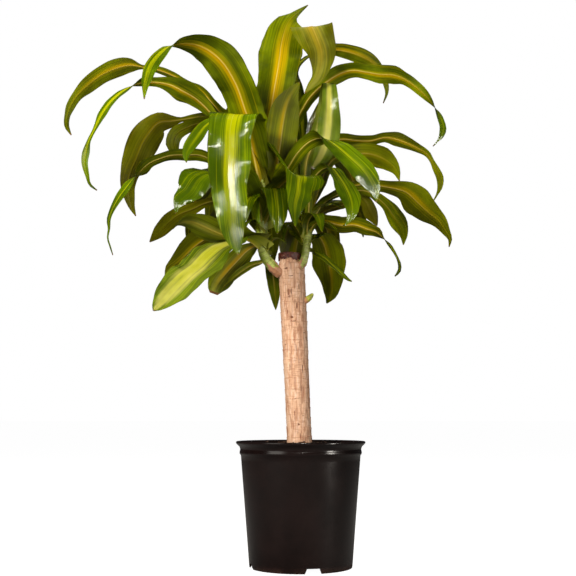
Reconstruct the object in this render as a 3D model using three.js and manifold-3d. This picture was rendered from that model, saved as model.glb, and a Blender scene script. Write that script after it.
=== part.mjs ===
// A corn plant in its nursery pot: a bark-covered cane standing in soil, with two leafy shoots that
// leave the cane below its sealed top and carry long arching striped leaves.
// Millimetres, +Z up. The origin is the centre of the pot's underside; +Y points away from the viewer.

import * as THREE from 'three';
import { mergeVertices } from 'three/addons/utils/BufferGeometryUtils.js';
import Module from 'manifold-3d';

const wasm = await Module();
wasm.setup();

// ---------------------------------------------------------------- driving dimensions

const GAP = 0.3;                    // clearance kept between neighbouring pieces

const POT_HEIGHT = 224;
const POT_RIM_RADIUS = 117.5;
const POT_BODY_TOP_RADIUS = 108.5;
const POT_FOOT_RADIUS = 92.5;
const POT_WALL = 2;
const POT_FLOOR = 2.6;
const POT_SIDES = 36;
const POT_BEAD_OUT = 2;             // the bead below the rim stands out this far from the body
const POT_BEAD_DROP = 20;           // of the bead's middle below the pot's top edge
const POT_LIP_WIDTH = 8;            // of the rolled rim, across its top
const POT_BASE_LIFT = 10;           // of the floor's underside, inside the ring that the pot stands on
const POT_RING_WALL = 3;
const POT_PAD_RADIUS = 27;          // the middle of the floor is sunk and stands on the ground too
const POT_PAD_SLOPE = 1.5;
const NOTCH_COUNT = 4;              // drain notches through the ring
const NOTCH_HEIGHT = 9;
const NOTCH_TOP_WIDTH = 23;
const NOTCH_FOOT_WIDTH = 32;
const NOTCH_DEPTH = 9;              // how far a notch reaches in from the foot's edge
const NOTCH_FIRST_ANGLE = -77;      // degrees; -90 faces the viewer

const SOIL_LEVEL = 213;
const SOIL_RELIEF = 3;
const SOIL_HEAP = 6;                // it is heaped this high against the cane
const SOIL_HEAP_REACH = 22;
const SOIL_SIDES = 28;
const SOIL_RINGS = [0.93, 0.8, 0.66, 0.5, 0.34, 0.05];   // of its bumpy top, per radius
const SOIL_EDGE = 8;                // depth of the straight edge round its top

const CANE_RADIUS = 23.4;
const CANE_FOOT = [3, 0, 110];      // the cane's buried lower end
const CANE_TOP = [-17.3, 0, 567];   // centre of the sealed cut
const CANE_SIDES = 16;
const SCAR_SPACING = 17.5;          // between the rings that fallen leaves left
const SCAR_DEPTH = 1.1;
const SCAR_LIP = 2;                 // height of the step at each ring
const SCAR_LOWEST = 231;            // the buried stretch below is plain
const PARED_LENGTH = 15;            // bark is pared away this far below the cut
const PARED_DEPTH = 4.5;
const PARED_SHIFT = -3;             // along X, of the pared end from the cane's middle
const PARED_SLOPE = 4;              // height of the shoulder below it

const SEAL_SKIRT = 11;              // how far the wax runs down from the cut
const SEAL_WALL = 1.8;
const SEAL_CROWN = 2;               // its height over the cut
const SEAL_SIDES = 24;

const BUD_ROOT = [2, -4, 479];      // inside the cane
const BUD_BEND = [14, -7, 480];
const BUD_TIP = [23, -9, 493];
const BUD_RADIUS = 6.2;
const BUD_POINT = 0.5;              // radius that its tip narrows to

const STEM_SIDES = 12;
const STEM_STEPS = 12;
const BLADE_THICKNESS = 1;
const BLADE_STEP = 74;              // length of blade between two stations
const BLADE_STEPS_LEAST = 5;
const BLADE_STEPS_MOST = 10;
const BROAD_BLADE = 88;             // blades at least this wide have five columns of points, others three
const CURVE_DIVISIONS = 30;         // of a midrib's curve between two of its places, to measure along it
const BLADE_BOW = 0.10;             // lift of the blade's edges from its midrib, per half width
const BLADE_CLASP = 0.95;           // the same where the blade clasps its stem
const RIPPLE_LENGTH = 92;           // of the waves along a blade's margins
const RIPPLE_HEIGHT = 0.13;         // of those waves, per half width
const RIPPLE_LAG = 2.1;             // turn, in radians, between the waves of a blade's two margins
const LEAF_TURN = 1.7;              // turn, in radians, between the waves of one leaf and the next

const COLOURS = { pot: '#1c1817', soil: '#2c211b', bark: '#c49a80', wax: '#3a1a1c', bud: '#8fa23c',
  leaf: '#6f8f25' };

// Half width of a blade from root (0) past its belly (0.5) to tip (1), per half of its greatest width.
const BLADE_OUTLINE = [[0, 0.3], [0.12, 0.4], [0.26, 0.64], [0.4, 0.93], [0.5, 1], [0.62, 0.93],
  [0.76, 0.72], [0.88, 0.44], [0.96, 0.2], [1, 0.03]];
const BELLY = 0.46;                 // where a blade is widest, along its length, unless its row says

// Each leafy shoot: its axis, its stem's radius along it, and its leaves from the top down. A leaf's
// `from` is the height on the axis where it roots, `facing` the compass angle that it leans to
// (0 right, 90 away from the viewer), and `path` the places its midrib passes on the way to the tip,
// each with the blade's width and its twist in degrees there. A plainer leaf's places go without
// these two, and it has its greatest `width`, its twist `roll` from root to tip and where its `belly`
// is along it.
const LEFT_SHOOT = {
  axis: [[-36, -8, 529], [-51, -10, 542], [-65, -10, 561], [-72, -8, 599], [-68, -6, 660], [-62, -4, 747]],
  radii: [8, 10, 11, 12.5, 14, 2],
  leaves: [
    // the tall upright one and its neighbours at the top
    { from: 717, facing: -100,
      path: [[-71, -20, 779, 42, 0], [-57, -15, 828, 58, 0], [-49, 0, 880, 70, 0], [-40, 18, 941, 82, 0],
        [-36, 30, 978, 85, 0], [-31, 39, 1004, 80, 0], [-26, 44, 1022, 67, 0], [-20, 48, 1034, 47, 5],
        [-14, 50, 1042, 20, 10], [-4, 50, 1051, 12, 15], [16, 48, 1065, 2, 30]] },
    { from: 697, facing: 208,
      path: [[-79, -12, 794, 81, 10], [-97, -24, 821, 70, 30], [-118, -56, 873, 67, 45],
        [-144, -84, 909, 67, 48], [-174, -100, 928, 55, 42], [-202, -112, 932, 39, 25],
        [-229, -124, 924, 32, -5], [-248, -131, 906, 27, -35], [-263, -138, 882, 29, -45],
        [-270, -143, 857, 22, -45], [-273, -146, 838, 11, -40], [-274, -148, 819, 2, -40]] },
    { from: 705, facing: 168,
      path: [[-123, 10, 811, 50, 20], [-148, 18, 838, 33, 40], [-170, 24, 865, 21, 50],
        [-192, 34, 890, 20, 45], [-216, 42, 905, 18, 40], [-240, 50, 921, 18, 40],
        [-262, 54, 932, 18, 40], [-282, 57, 939, 17, 40], [-305, 60, 944, 11, 40],
        [-332, 66, 950, 30, 50], [-362, 70, 944, 37, 55], [-391, 74, 931, 34, 55],
        [-418, 80, 912, 30, 55], [-438, 84, 893, 21, 55], [-451, 87, 872, 18, 50],
        [-457, 88, 852, 12, 40], [-457, 88, 834, 12, 30], [-448, 88, 816, 3, 30]] },
    { from: 689, facing: 192,
      path: [[-135, -12, 805, 28, 20], [-161, -18, 825, 19, 40], [-179, -22, 843, 27, 50],
        [-196, -26, 857, 38, 50], [-218, -34, 868, 47, 50], [-241, -40, 878, 32, 50],
        [-268, -46, 881, 19, 45], [-295, -52, 878, 27, 20], [-319, -58, 864, 28, -30],
        [-342, -63, 843, 22, -45], [-360, -67, 816, 20, -45], [-374, -71, 784, 11, -45],
        [-383, -73, 763, 10, -50], [-387, -75, 742, 17, -50], [-389, -76, 722, 15, -45],
        [-384, -76, 700, 11, -40], [-379, -76, 683, 8, -30], [-366, -76, 672, 3, -30]] },
    { from: 711, facing: 120, width: 60, roll: [0, 0, 0],
      path: [[-72, 30, 785], [-86, 70, 843], [-108, 130, 885], [-134, 190, 873], [-155, 232, 820],
        [-168, 252, 750]] },
    // leaves that come towards the viewer
    { from: 660, facing: 256,
      path: [[-96, -50, 784, 65, 0], [-109, -104, 799, 96, -5], [-118, -138, 793, 85, -12],
        [-123, -156, 765, 79, -25], [-124, -165, 724, 77, -30], [-125, -174, 669, 69, -30],
        [-121, -180, 628, 59, -30], [-118, -184, 590, 45, -25], [-111, -188, 557, 24, -20],
        [-106, -190, 538, 2, -20]] },
    { from: 705, facing: -45, width: 15, belly: 0.5, roll: [0, 0, 0, 0],
      path: [[-69, -24, 787], [-50, -45, 755], [-32, -68, 724], [-18, -88, 694], [-9, -98, 668]] },
    { from: 695, facing: 224,
      path: [[-112, -32, 810, 41, 0], [-140, -52, 810, 41, -20], [-160, -62, 804, 20, -35],
        [-174, -70, 792, 21, -45], [-187, -80, 771, 25, -50], [-199, -88, 750, 24, -45],
        [-205, -93, 734, 14, -45], [-204, -97, 718, 2, -40]] },
    { from: 665, facing: -75,
      path: [[-45, -28, 716, 34, 0], [-38, -34, 760, 50, 0], [-32, -38, 804, 63, 0],
        [-25, -38, 838, 51, 0], [-14, -36, 865, 25, 0], [-1, -34, 885, 2, 0]] },
    { from: 653, facing: -38,
      path: [[-34, -35, 700, 26, -10], [-21, -48, 723, 25, -40], [-3, -62, 747, 29, -50],
        [17, -76, 762, 30, -45], [38, -88, 765, 44, -10], [61, -98, 749, 39, 25],
        [83, -107, 727, 44, 40], [104, -114, 705, 47, 45], [119, -120, 683, 38, 48],
        [129, -125, 660, 19, 48], [131, -128, 640, 2, 48]] },
    { from: 609, facing: -72,
      path: [[-52, -38, 651, 26, 0], [-52, -62, 668, 38, 0], [-47, -84, 674, 57, 0],
        [-43, -98, 650, 42, 0], [-41, -104, 627, 37, 0], [-41, -108, 607, 22, 0], [-42, -110, 587, 2, 0]] },
    // the left side, from high to low
    { from: 661, facing: 184,
      path: [[-122, -6, 782, 42, 0], [-158, -6, 811, 40, 20], [-186, -6, 815, 26, 40],
        [-212, -8, 806, 25, 60], [-232, -9, 793, 28, 60], [-238, -9, 776, 29, 60],
        [-234, -8, 759, 18, 60], [-230, -6, 746, 2, 60]] },
    { from: 645, facing: 165,
      path: [[-110, 6, 789, 75, 20], [-148, 18, 821, 31, 50], [-181, 26, 835, 17, 60],
        [-207, 33, 835, 14, 60], [-226, 36, 833, 10, 60], [-248, 41, 831, 26, 65],
        [-271, 45, 829, 41, 70], [-288, 49, 812, 56, 60], [-303, 53, 789, 65, 50],
        [-314, 57, 763, 57, 45], [-326, 60, 736, 42, 40], [-331, 61, 709, 31, 45],
        [-327, 61, 683, 21, 50], [-323, 61, 668, 13, 50], [-315, 61, 650, 2, 50]] },
    { from: 617, facing: 194,
      path: [[-127, -12, 731, 30, 20], [-162, -22, 740, 22, 40], [-186, -28, 748, 24, 50],
        [-211, -34, 747, 24, 50], [-236, -40, 745, 23, 50], [-257, -45, 738, 21, 50],
        [-275, -49, 729, 22, 50], [-289, -52, 716, 33, 35], [-303, -55, 699, 24, -10],
        [-315, -58, 682, 22, -40], [-329, -61, 661, 20, -45], [-339, -64, 640, 16, -40],
        [-345, -66, 621, 13, -30], [-344, -68, 605, 10, -20], [-346, -70, 586, 6, -20],
        [-341, -71, 570, 6, -20], [-336, -72, 555, 3, -20]] },
    { from: 607, facing: 232,
      path: [[-111, -38, 699, 73, 0], [-139, -60, 705, 96, -10], [-165, -80, 701, 96, -20],
        [-183, -92, 689, 72, -30], [-198, -102, 663, 47, -35], [-212, -109, 649, 29, -40],
        [-218, -113, 634, 12, -40], [-221, -114, 623, 2, -40]] },
    { from: 597, facing: 170,
      path: [[-122, -4, 653, 50, 0], [-154, 2, 668, 26, 35], [-178, 8, 665, 18, 45],
        [-203, 12, 654, 24, 50], [-226, 16, 646, 29, 55], [-245, 20, 633, 33, 55],
        [-260, 26, 619, 29, 55], [-274, 30, 605, 16, 55], [-284, 32, 595, 2, 55]] },
    { from: 583, facing: 200,
      path: [[-94, -26, 590, 65, 0], [-125, -44, 592, 85, 15], [-153, -58, 599, 59, 40],
        [-176, -70, 608, 49, 45], [-196, -80, 614, 35, 40], [-213, -86, 612, 32, 20],
        [-227, -90, 599, 4, 0]] },
    { from: 577, facing: 172,
      path: [[-112, -2, 601, 58, 0], [-146, 6, 606, 62, 30], [-174, 12, 599, 55, 45],
        [-197, 18, 585, 52, 55], [-214, 22, 569, 46, 60], [-231, 26, 554, 32, 60],
        [-246, 29, 543, 18, 60], [-254, 30, 532, 2, 60]] },
    { from: 567, facing: 212,
      path: [[-100, -30, 589, 57, 0], [-123, -46, 581, 68, -15], [-145, -62, 569, 65, -25],
        [-164, -78, 550, 74, -30], [-180, -94, 530, 90, -30], [-196, -108, 514, 85, -32],
        [-212, -120, 496, 69, -35], [-227, -130, 478, 61, -35], [-238, -138, 464, 44, -35],
        [-247, -143, 454, 26, -35], [-253, -146, 448, 4, -35]] },
    { from: 561, facing: 165,
      path: [[-79, -2, 582, 41, 0], [-97, 4, 576, 38, 30], [-114, 10, 560, 43, 45],
        [-133, 16, 540, 49, 50], [-150, 22, 520, 47, 50], [-158, 25, 507, 35, 50], [-162, 26, 496, 16, 50]] },
    { from: 558, facing: 196,
      path: [[-69, -12, 551, 12, 50], [-89, -16, 545, 15, 50], [-107, -22, 533, 18, 50],
        [-125, -28, 517, 16, 50], [-139, -30, 502, 3, 50]] },
    // short ones close to the stem
    { from: 619, facing: 235, width: 32, roll: [0, 0, 0],
      path: [[-82, -28, 661], [-88, -48, 669], [-84, -62, 651], [-74, -68, 611]] },
    { from: 587, facing: 200, width: 22, roll: [0, 0, 0],
      path: [[-80, -13, 611], [-87, -18, 633], [-92, -21, 657]] },
    { from: 553, facing: 80, width: 28, belly: 0.5, roll: [0, 0, 0],
      path: [[-60, 18, 563], [-53, 30, 542], [-49, 36, 514], [-47, 40, 488], [-46, 42, 467]] },
    // the side away from the viewer
    { from: 677, facing: 128, width: 62, roll: [0, 0, 0],
      path: [[-88, 42, 757], [-120, 96, 805], [-152, 160, 793], [-178, 212, 733], [-190, 240, 645]] },
    { from: 653, facing: 99, width: 60, roll: [0, 0, 0],
      path: [[-64, 48, 727], [-68, 112, 783], [-72, 180, 775], [-75, 235, 713], [-76, 262, 623]] },
    { from: 697, facing: 96, width: 54, roll: [0, 0, 0],
      path: [[-64, 36, 789], [-66, 86, 861], [-62, 150, 893], [-57, 205, 871], [-54, 240, 801]] },
    { from: 627, facing: 146, width: 58, roll: [0, 0, 0],
      path: [[-98, 28, 693], [-150, 74, 725], [-196, 112, 706], [-218, 138, 655], [-222, 150, 602]] },
    { from: 597, facing: 135, width: 56, roll: [0, 0, 0],
      path: [[-98, 34, 645], [-142, 86, 665], [-178, 130, 627], [-200, 160, 553]] },
    // leaves that fill the middle
    { from: 645, facing: -50,
      path: [[-38, -30, 689, 48, 0], [-18, -58, 698, 81, 0], [-2, -84, 697, 96, 0],
        [-3, -102, 680, 60, 0], [-5, -112, 660, 54, 0], [-10, -118, 639, 40, 0], [-11, -121, 620, 23, 0],
        [-10, -123, 597, 2, 0]] },
    { from: 561, facing: -20, width: 20, roll: [0, 0, 0],
      path: [[-51, -20, 591], [-38, -32, 592], [-25, -38, 580]] },
    { from: 611, facing: 40, width: 36, roll: [0, 0, 0],
      path: [[-48, 38, 657], [-33, 66, 680], [-19, 86, 672], [-11, 98, 637]] },
    { from: 605, facing: 250, width: 40, roll: [0, 0, 0],
      path: [[-74, -34, 653], [-85, -56, 665], [-95, -72, 651], [-100, -80, 613]] },
    { from: 597, facing: -30, width: 42, belly: 0.55, roll: [0, 0, 0],
      path: [[-66, 14, 626], [-57, 30, 629], [-53, 38, 602], [-51, 40, 550]] },
    { from: 609, facing: 212, width: 26, roll: [0, 0, 0],
      path: [[-82, -14, 625], [-95, -22, 626], [-104, -28, 608], [-109, -30, 589]] },
  ],
};

const RIGHT_SHOOT = {
  axis: [[-10, -10, 535], [1, -13, 546], [7.5, -14, 558], [10, -13, 571], [14, 4, 601], [15, 24, 645], [8, 34, 717]],
  radii: [6.5, 7, 7.2, 7.4, 10, 14, 2],
  leaves: [
    // the top, from the one that folds over to the long arch on the right
    { from: 695, facing: 84,
      path: [[19, 28, 797, 15, 0], [23, 28, 822, 17, 0], [34, 28, 847, 15, 0], [48, 27, 877, 15, 0],
        [42, 26, 916, 23, 0], [36, 22, 950, 31, 0], [32, 14, 979, 46, 0], [26, 4, 997, 64, 0],
        [21, -8, 1002, 81, 0], [25, -18, 991, 78, 0], [32, -25, 971, 67, 0], [39, -30, 948, 56, 0],
        [40, -34, 927, 45, 0], [37, -37, 907, 32, 0], [31, -39, 891, 23, 0], [20, -40, 877, 15, 0],
        [8, -41, 862, 2, 0]] },
    { from: 681, facing: 65,
      path: [[2, 66, 864, 25, 0], [-3, 74, 907, 19, 0], [-10, 80, 937, 17, 0], [-2, 86, 959, 25, -10],
        [23, 94, 980, 35, -20], [51, 98, 990, 40, -30], [77, 102, 993, 29, -35],
        [101, 105, 989, 31, -35], [123, 108, 982, 33, -35], [143, 112, 972, 29, -30],
        [159, 115, 958, 20, -30], [169, 117, 940, 14, -20], [174, 118, 922, 10, -20],
        [174, 118, 908, 6, -10], [167, 118, 889, 2, -10]] },
    { from: 673, facing: -8,
      path: [[-8, 18, 817, 34, -20], [7, 14, 853, 27, -40], [24, 11, 876, 28, -50],
        [47, 8, 896, 31, -50], [75, 3, 913, 35, -50], [100, -2, 918, 32, -50], [124, -7, 913, 30, -50],
        [150, -12, 907, 37, -50], [174, -18, 904, 39, -50], [195, -24, 894, 26, -50],
        [213, -30, 879, 22, -50], [231, -36, 860, 19, -45], [243, -41, 843, 16, -20],
        [251, -44, 827, 20, 20], [257, -46, 811, 17, 45], [261, -48, 794, 17, 50],
        [257, -50, 778, 11, 50], [251, -51, 769, 4, 50], [242, -51, 759, 2, 50]] },
    { from: 645, facing: -80,
      path: [[11, 8, 738, 23, 0], [28, 0, 784, 27, 0], [43, -5, 830, 27, 0], [50, -8, 868, 27, 0],
        [53, -14, 889, 25, 0], [54, -22, 883, 27, 0], [55, -27, 860, 30, 0], [55, -29, 837, 36, 0],
        [54, -29, 814, 43, 0], [52, -27, 790, 45, 0], [47, -22, 767, 42, 0], [37, -14, 746, 31, 0],
        [22, -6, 727, 6, 0]] },
    // the right side, from high to low
    { from: 645, facing: 12,
      path: [[38, 37, 762, 30, -20], [53, 39, 788, 33, -30], [80, 41, 796, 25, -45],
        [107, 43, 794, 21, -50], [134, 46, 794, 23, -50], [164, 49, 801, 23, -50],
        [187, 52, 798, 29, -50], [208, 55, 791, 24, -50], [228, 58, 782, 18, -50],
        [246, 62, 772, 14, -45], [255, 65, 759, 10, -40], [263, 68, 744, 13, -50],
        [271, 71, 727, 15, -50], [271, 73, 709, 11, -50], [265, 75, 694, 5, -40], [258, 76, 682, 3, -40]] },
    { from: 629, facing: 0,
      path: [[61, 27, 752, 38, -30], [94, 22, 760, 39, -50], [125, 21, 763, 41, -60],
        [151, 22, 756, 46, -60], [170, 24, 744, 33, -60], [182, 25, 730, 17, -60], [188, 26, 711, 2, -60]] },
    { from: 617, facing: 4,
      path: [[41, 28, 665, 29, -20], [58, 28, 681, 17, -40], [83, 28, 695, 19, -40],
        [121, 27, 705, 21, -50], [151, 28, 702, 25, -50], [176, 30, 698, 32, -50],
        [201, 33, 691, 45, -50], [222, 37, 673, 61, -50], [243, 41, 654, 50, -50],
        [264, 44, 637, 32, -50], [277, 46, 618, 18, -50], [285, 47, 603, 9, -50], [283, 48, 588, 2, -50]] },
    { from: 607, facing: -22,
      path: [[39, 10, 660, 18, -20], [57, 2, 673, 11, -40], [89, -4, 685, 17, -40],
        [122, -8, 685, 19, -50], [142, -12, 672, 23, -55], [160, -17, 654, 30, -55],
        [173, -22, 633, 40, -55], [184, -26, 616, 41, -55], [189, -28, 600, 26, -55],
        [188, -30, 580, 3, -55]] },
    { from: 597, facing: 6,
      path: [[30, 26, 640, 29, -30], [49, 22, 654, 19, -40], [67, 20, 659, 14, -50],
        [88, 19, 667, 18, -55], [109, 16, 680, 21, -60], [123, 14, 668, 24, -60],
        [131, 14, 649, 28, -60], [139, 14, 634, 16, -60], [144, 14, 623, 2, -60]] },
    { from: 607, facing: -58,
      path: [[21, -20, 699, 16, -20], [38, -38, 718, 20, -20], [54, -52, 720, 40, -10],
        [68, -62, 701, 39, 0], [80, -70, 679, 48, 0], [88, -76, 658, 45, 0], [91, -80, 639, 29, 10],
        [89, -83, 624, 17, 15], [82, -84, 611, 5, 20], [75, -85, 605, 2, 20]] },
    { from: 593, facing: -10,
      path: [[29, 8, 629, 33, -20], [52, 4, 628, 32, -40], [76, 1, 622, 38, -50],
        [101, -2, 622, 36, -50], [123, -6, 614, 30, -50], [142, -8, 607, 23, -40],
        [156, -10, 593, 21, 0], [169, -12, 575, 10, 30], [178, -13, 558, 9, 30], [182, -14, 545, 12, 30],
        [181, -15, 534, 11, 30], [173, -15, 524, 3, 30]] },
    { from: 579, facing: 50,
      path: [[24, 34, 599, 30, 0], [32, 46, 613, 51, 0], [42, 54, 602, 66, 0], [50, 60, 582, 73, 0],
        [55, 66, 558, 77, 0], [59, 70, 533, 65, 0], [59, 72, 512, 45, 0], [57, 73, 497, 28, 0],
        [51, 74, 483, 3, 0]] },
    // short ones close to the stem
    { from: 571, facing: -12,
      path: [[24, 12, 573, 19, 30], [42, 8, 563, 21, 30], [60, 4, 546, 20, 30], [79, 1, 528, 17, 30],
        [86, 0, 521, 14, 30], [95, 0, 516, 4, 30]] },
    { from: 595, facing: -45, width: 28, roll: [0, 0, 0],
      path: [[24, 6, 623], [42, -12, 627], [58, -24, 617], [68, -30, 605]] },
    { from: 599, facing: -28, width: 26, roll: [0, 0, 20],
      path: [[24, 16, 643], [38, 2, 659], [60, -6, 662], [80, -12, 650]] },
    // the side away from the viewer
    { from: 665, facing: 64, width: 62, roll: [0, 0, 0],
      path: [[28, 76, 743], [60, 130, 795], [92, 188, 787], [120, 235, 731], [138, 262, 650]] },
    { from: 645, facing: 92, width: 60, roll: [0, 0, 0],
      path: [[7, 84, 717], [8, 150, 765], [8, 220, 753], [8, 272, 689], [8, 296, 605]] },
    { from: 621, facing: 46, width: 54, roll: [0, 0, 0],
      path: [[40, 52, 657], [70, 82, 681], [104, 116, 689], [122, 138, 660], [127, 148, 623]] },
    { from: 601, facing: 70, width: 48, roll: [0, 0, 0],
      path: [[30, 78, 639], [50, 118, 641], [64, 150, 599], [66, 172, 525]] },
    { from: 593, facing: 96, width: 48, roll: [0, 0, 0],
      path: [[6, 70, 617], [0, 112, 625], [-8, 156, 593], [-14, 190, 510]] },
    // leaves that fill the middle
    { from: 611, facing: 190, width: 44, roll: [0, 0, 0],
      path: [[-8, 22, 660], [-19, 8, 675], [-30, -6, 664], [-40, -14, 631]] },
    { from: 577, facing: 214, width: 36, roll: [0, 0, 0],
      path: [[-6, 14, 617], [-17, 2, 628], [-27, -8, 619], [-32, -12, 592]] },
    { from: 571, facing: 120, width: 50, roll: [0, 0, 0],
      path: [[-8, 54, 626], [-19, 76, 637], [-27, 92, 616], [-31, 100, 567]] },
    { from: 589, facing: -60, width: 34, roll: [0, 0, 0],
      path: [[14, -2, 627], [25, -26, 638], [33, -42, 629], [39, -50, 600]] },
  ],
};

// ---------------------------------------------------------------- helpers

const vector = ([x, y, z]) => new THREE.Vector3(x, y, z);
const radians = THREE.MathUtils.degToRad;

/** Value at `s` on the straight lines between [position, value] pairs. */
function profile(pairs, s) {
  const next = pairs.findIndex(([position]) => position > s);
  if (next < 0) return pairs[pairs.length - 1][1];
  if (next === 0) return pairs[0][1];
  const [fromPosition, fromValue] = pairs[next - 1];
  const [toPosition, toValue] = pairs[next];
  return fromValue + (toValue - fromValue) * (s - fromPosition) / (toPosition - fromPosition);
}

/** Value at `s` (0 to 1) on a line through evenly spaced values. */
function evenProfile(values, s) {
  const last = values.length - 1;
  return profile(values.map((value, index) => [index / last, value]), s);
}

/** Closed mesh from rows of points: each row a loop, the first and last filled by a fan. */
function skin(loops) {
  const count = loops[0].length;
  const positions = loops.flat().flatMap((point) => [point.x, point.y, point.z]);
  const faces = [];
  for (let row = 0; row + 1 < loops.length; row += 1) {
    for (let k = 0; k < count; k += 1) {
      const a = row * count + k;
      const b = row * count + (k + 1) % count;
      faces.push(a, b, b + count, a, b + count, a + count);
    }
  }
  [0, loops.length - 1].forEach((row) => {
    const centre = new THREE.Vector3();
    loops[row].forEach((point) => centre.add(point));
    centre.divideScalar(count);
    const middle = positions.length / 3;
    positions.push(centre.x, centre.y, centre.z);
    for (let k = 0; k < count; k += 1) {
      const a = row * count + k;
      const b = row * count + (k + 1) % count;
      if (row === 0) faces.push(middle, b, a);
      else faces.push(middle, a, b);
    }
  });
  const geometry = new THREE.BufferGeometry();
  geometry.setAttribute('position', new THREE.Float32BufferAttribute(positions, 3));
  geometry.setIndex(faces);
  return geometry;
}

/** Round bar along `curve`; radiusAt(s, angle, point) gives its radius. */
function bar(curve, steps, sides, radiusAt) {
  const frames = curve.computeFrenetFrames(steps, false);
  const loops = [];
  for (let row = 0; row <= steps; row += 1) {
    const s = row / steps;
    const centre = curve.getPointAt(s);
    const loop = [];
    for (let k = 0; k < sides; k += 1) {
      const angle = 2 * Math.PI * k / sides;
      const radius = radiusAt(s, angle, centre);
      loop.push(centre.clone()
        .addScaledVector(frames.normals[row], radius * Math.cos(angle))
        .addScaledVector(frames.binormals[row], radius * Math.sin(angle)));
    }
    loops.push(loop);
  }
  return skin(loops);
}

function toSolid(geometry) {
  const bare = geometry.clone();
  bare.deleteAttribute('normal');
  bare.deleteAttribute('uv');
  const welded = mergeVertices(bare, 1e-4);
  return new wasm.Manifold(new wasm.Mesh({
    numProp: 3,
    vertProperties: new Float32Array(welded.attributes.position.array),
    triVerts: new Uint32Array(welded.index.array),
  }));
}

function toGeometry(solid) {
  const mesh = solid.getMesh();
  const geometry = new THREE.BufferGeometry();
  geometry.setAttribute('position', new THREE.BufferAttribute(new Float32Array(mesh.vertProperties), 3));
  geometry.setIndex(new THREE.BufferAttribute(new Uint32Array(mesh.triVerts), 1));
  return geometry;
}

/** The largest closed shell of a mesh: fills hollows that fusing sealed and drops loose scraps. */
function outerShell(geometry) {
  const position = geometry.attributes.position;
  const index = Array.from(geometry.index.array);
  const parent = Array.from({ length: position.count }, (_, k) => k);
  const find = (k) => {
    while (parent[k] !== k) {
      parent[k] = parent[parent[k]];
      k = parent[k];
    }
    return k;
  };
  for (let k = 0; k < index.length; k += 3) {
    parent[find(index[k])] = find(index[k + 1]);
    parent[find(index[k + 1])] = find(index[k + 2]);
  }
  const shells = new Map();
  const corner = [new THREE.Vector3(), new THREE.Vector3(), new THREE.Vector3()];
  for (let k = 0; k < index.length; k += 3) {
    const shell = shells.get(find(index[k])) ?? { faces: [], volume: 0 };
    corner.forEach((point, side) => point.fromBufferAttribute(position, index[k + side]));
    shell.volume += corner[0].dot(corner[1].clone().cross(corner[2])) / 6;
    shell.faces.push(index[k], index[k + 1], index[k + 2]);
    shells.set(find(index[k]), shell);
  }
  const largest = [...shells.values()].reduce((best, shell) => (shell.volume > best.volume ? shell : best));
  const kept = geometry.clone();
  kept.setIndex(largest.faces);
  return mergeVertices(kept, 1e-4);
}

function piece(name, geometry, color, roughness) {
  const shaded = geometry.clone();
  shaded.computeVertexNormals();
  const mesh = new THREE.Mesh(shaded, new THREE.MeshStandardMaterial({ color, roughness, metalness: 0 }));
  mesh.name = name;
  return mesh;
}

/** Turns a lathe's geometry from +Y up to +Z up. */
const upright = (geometry) => geometry.rotateX(Math.PI / 2);

// ---------------------------------------------------------------- pot

const innerRadiusAt = (z) => THREE.MathUtils.lerp(POT_FOOT_RADIUS, POT_BODY_TOP_RADIUS,
  z / POT_HEIGHT) - POT_WALL;

/** Radius inside the floor's sunk middle. */
const padRadiusAt = (z) => POT_PAD_RADIUS - POT_WALL
  + POT_PAD_SLOPE * (z - POT_FLOOR) / POT_BASE_LIFT;

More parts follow.
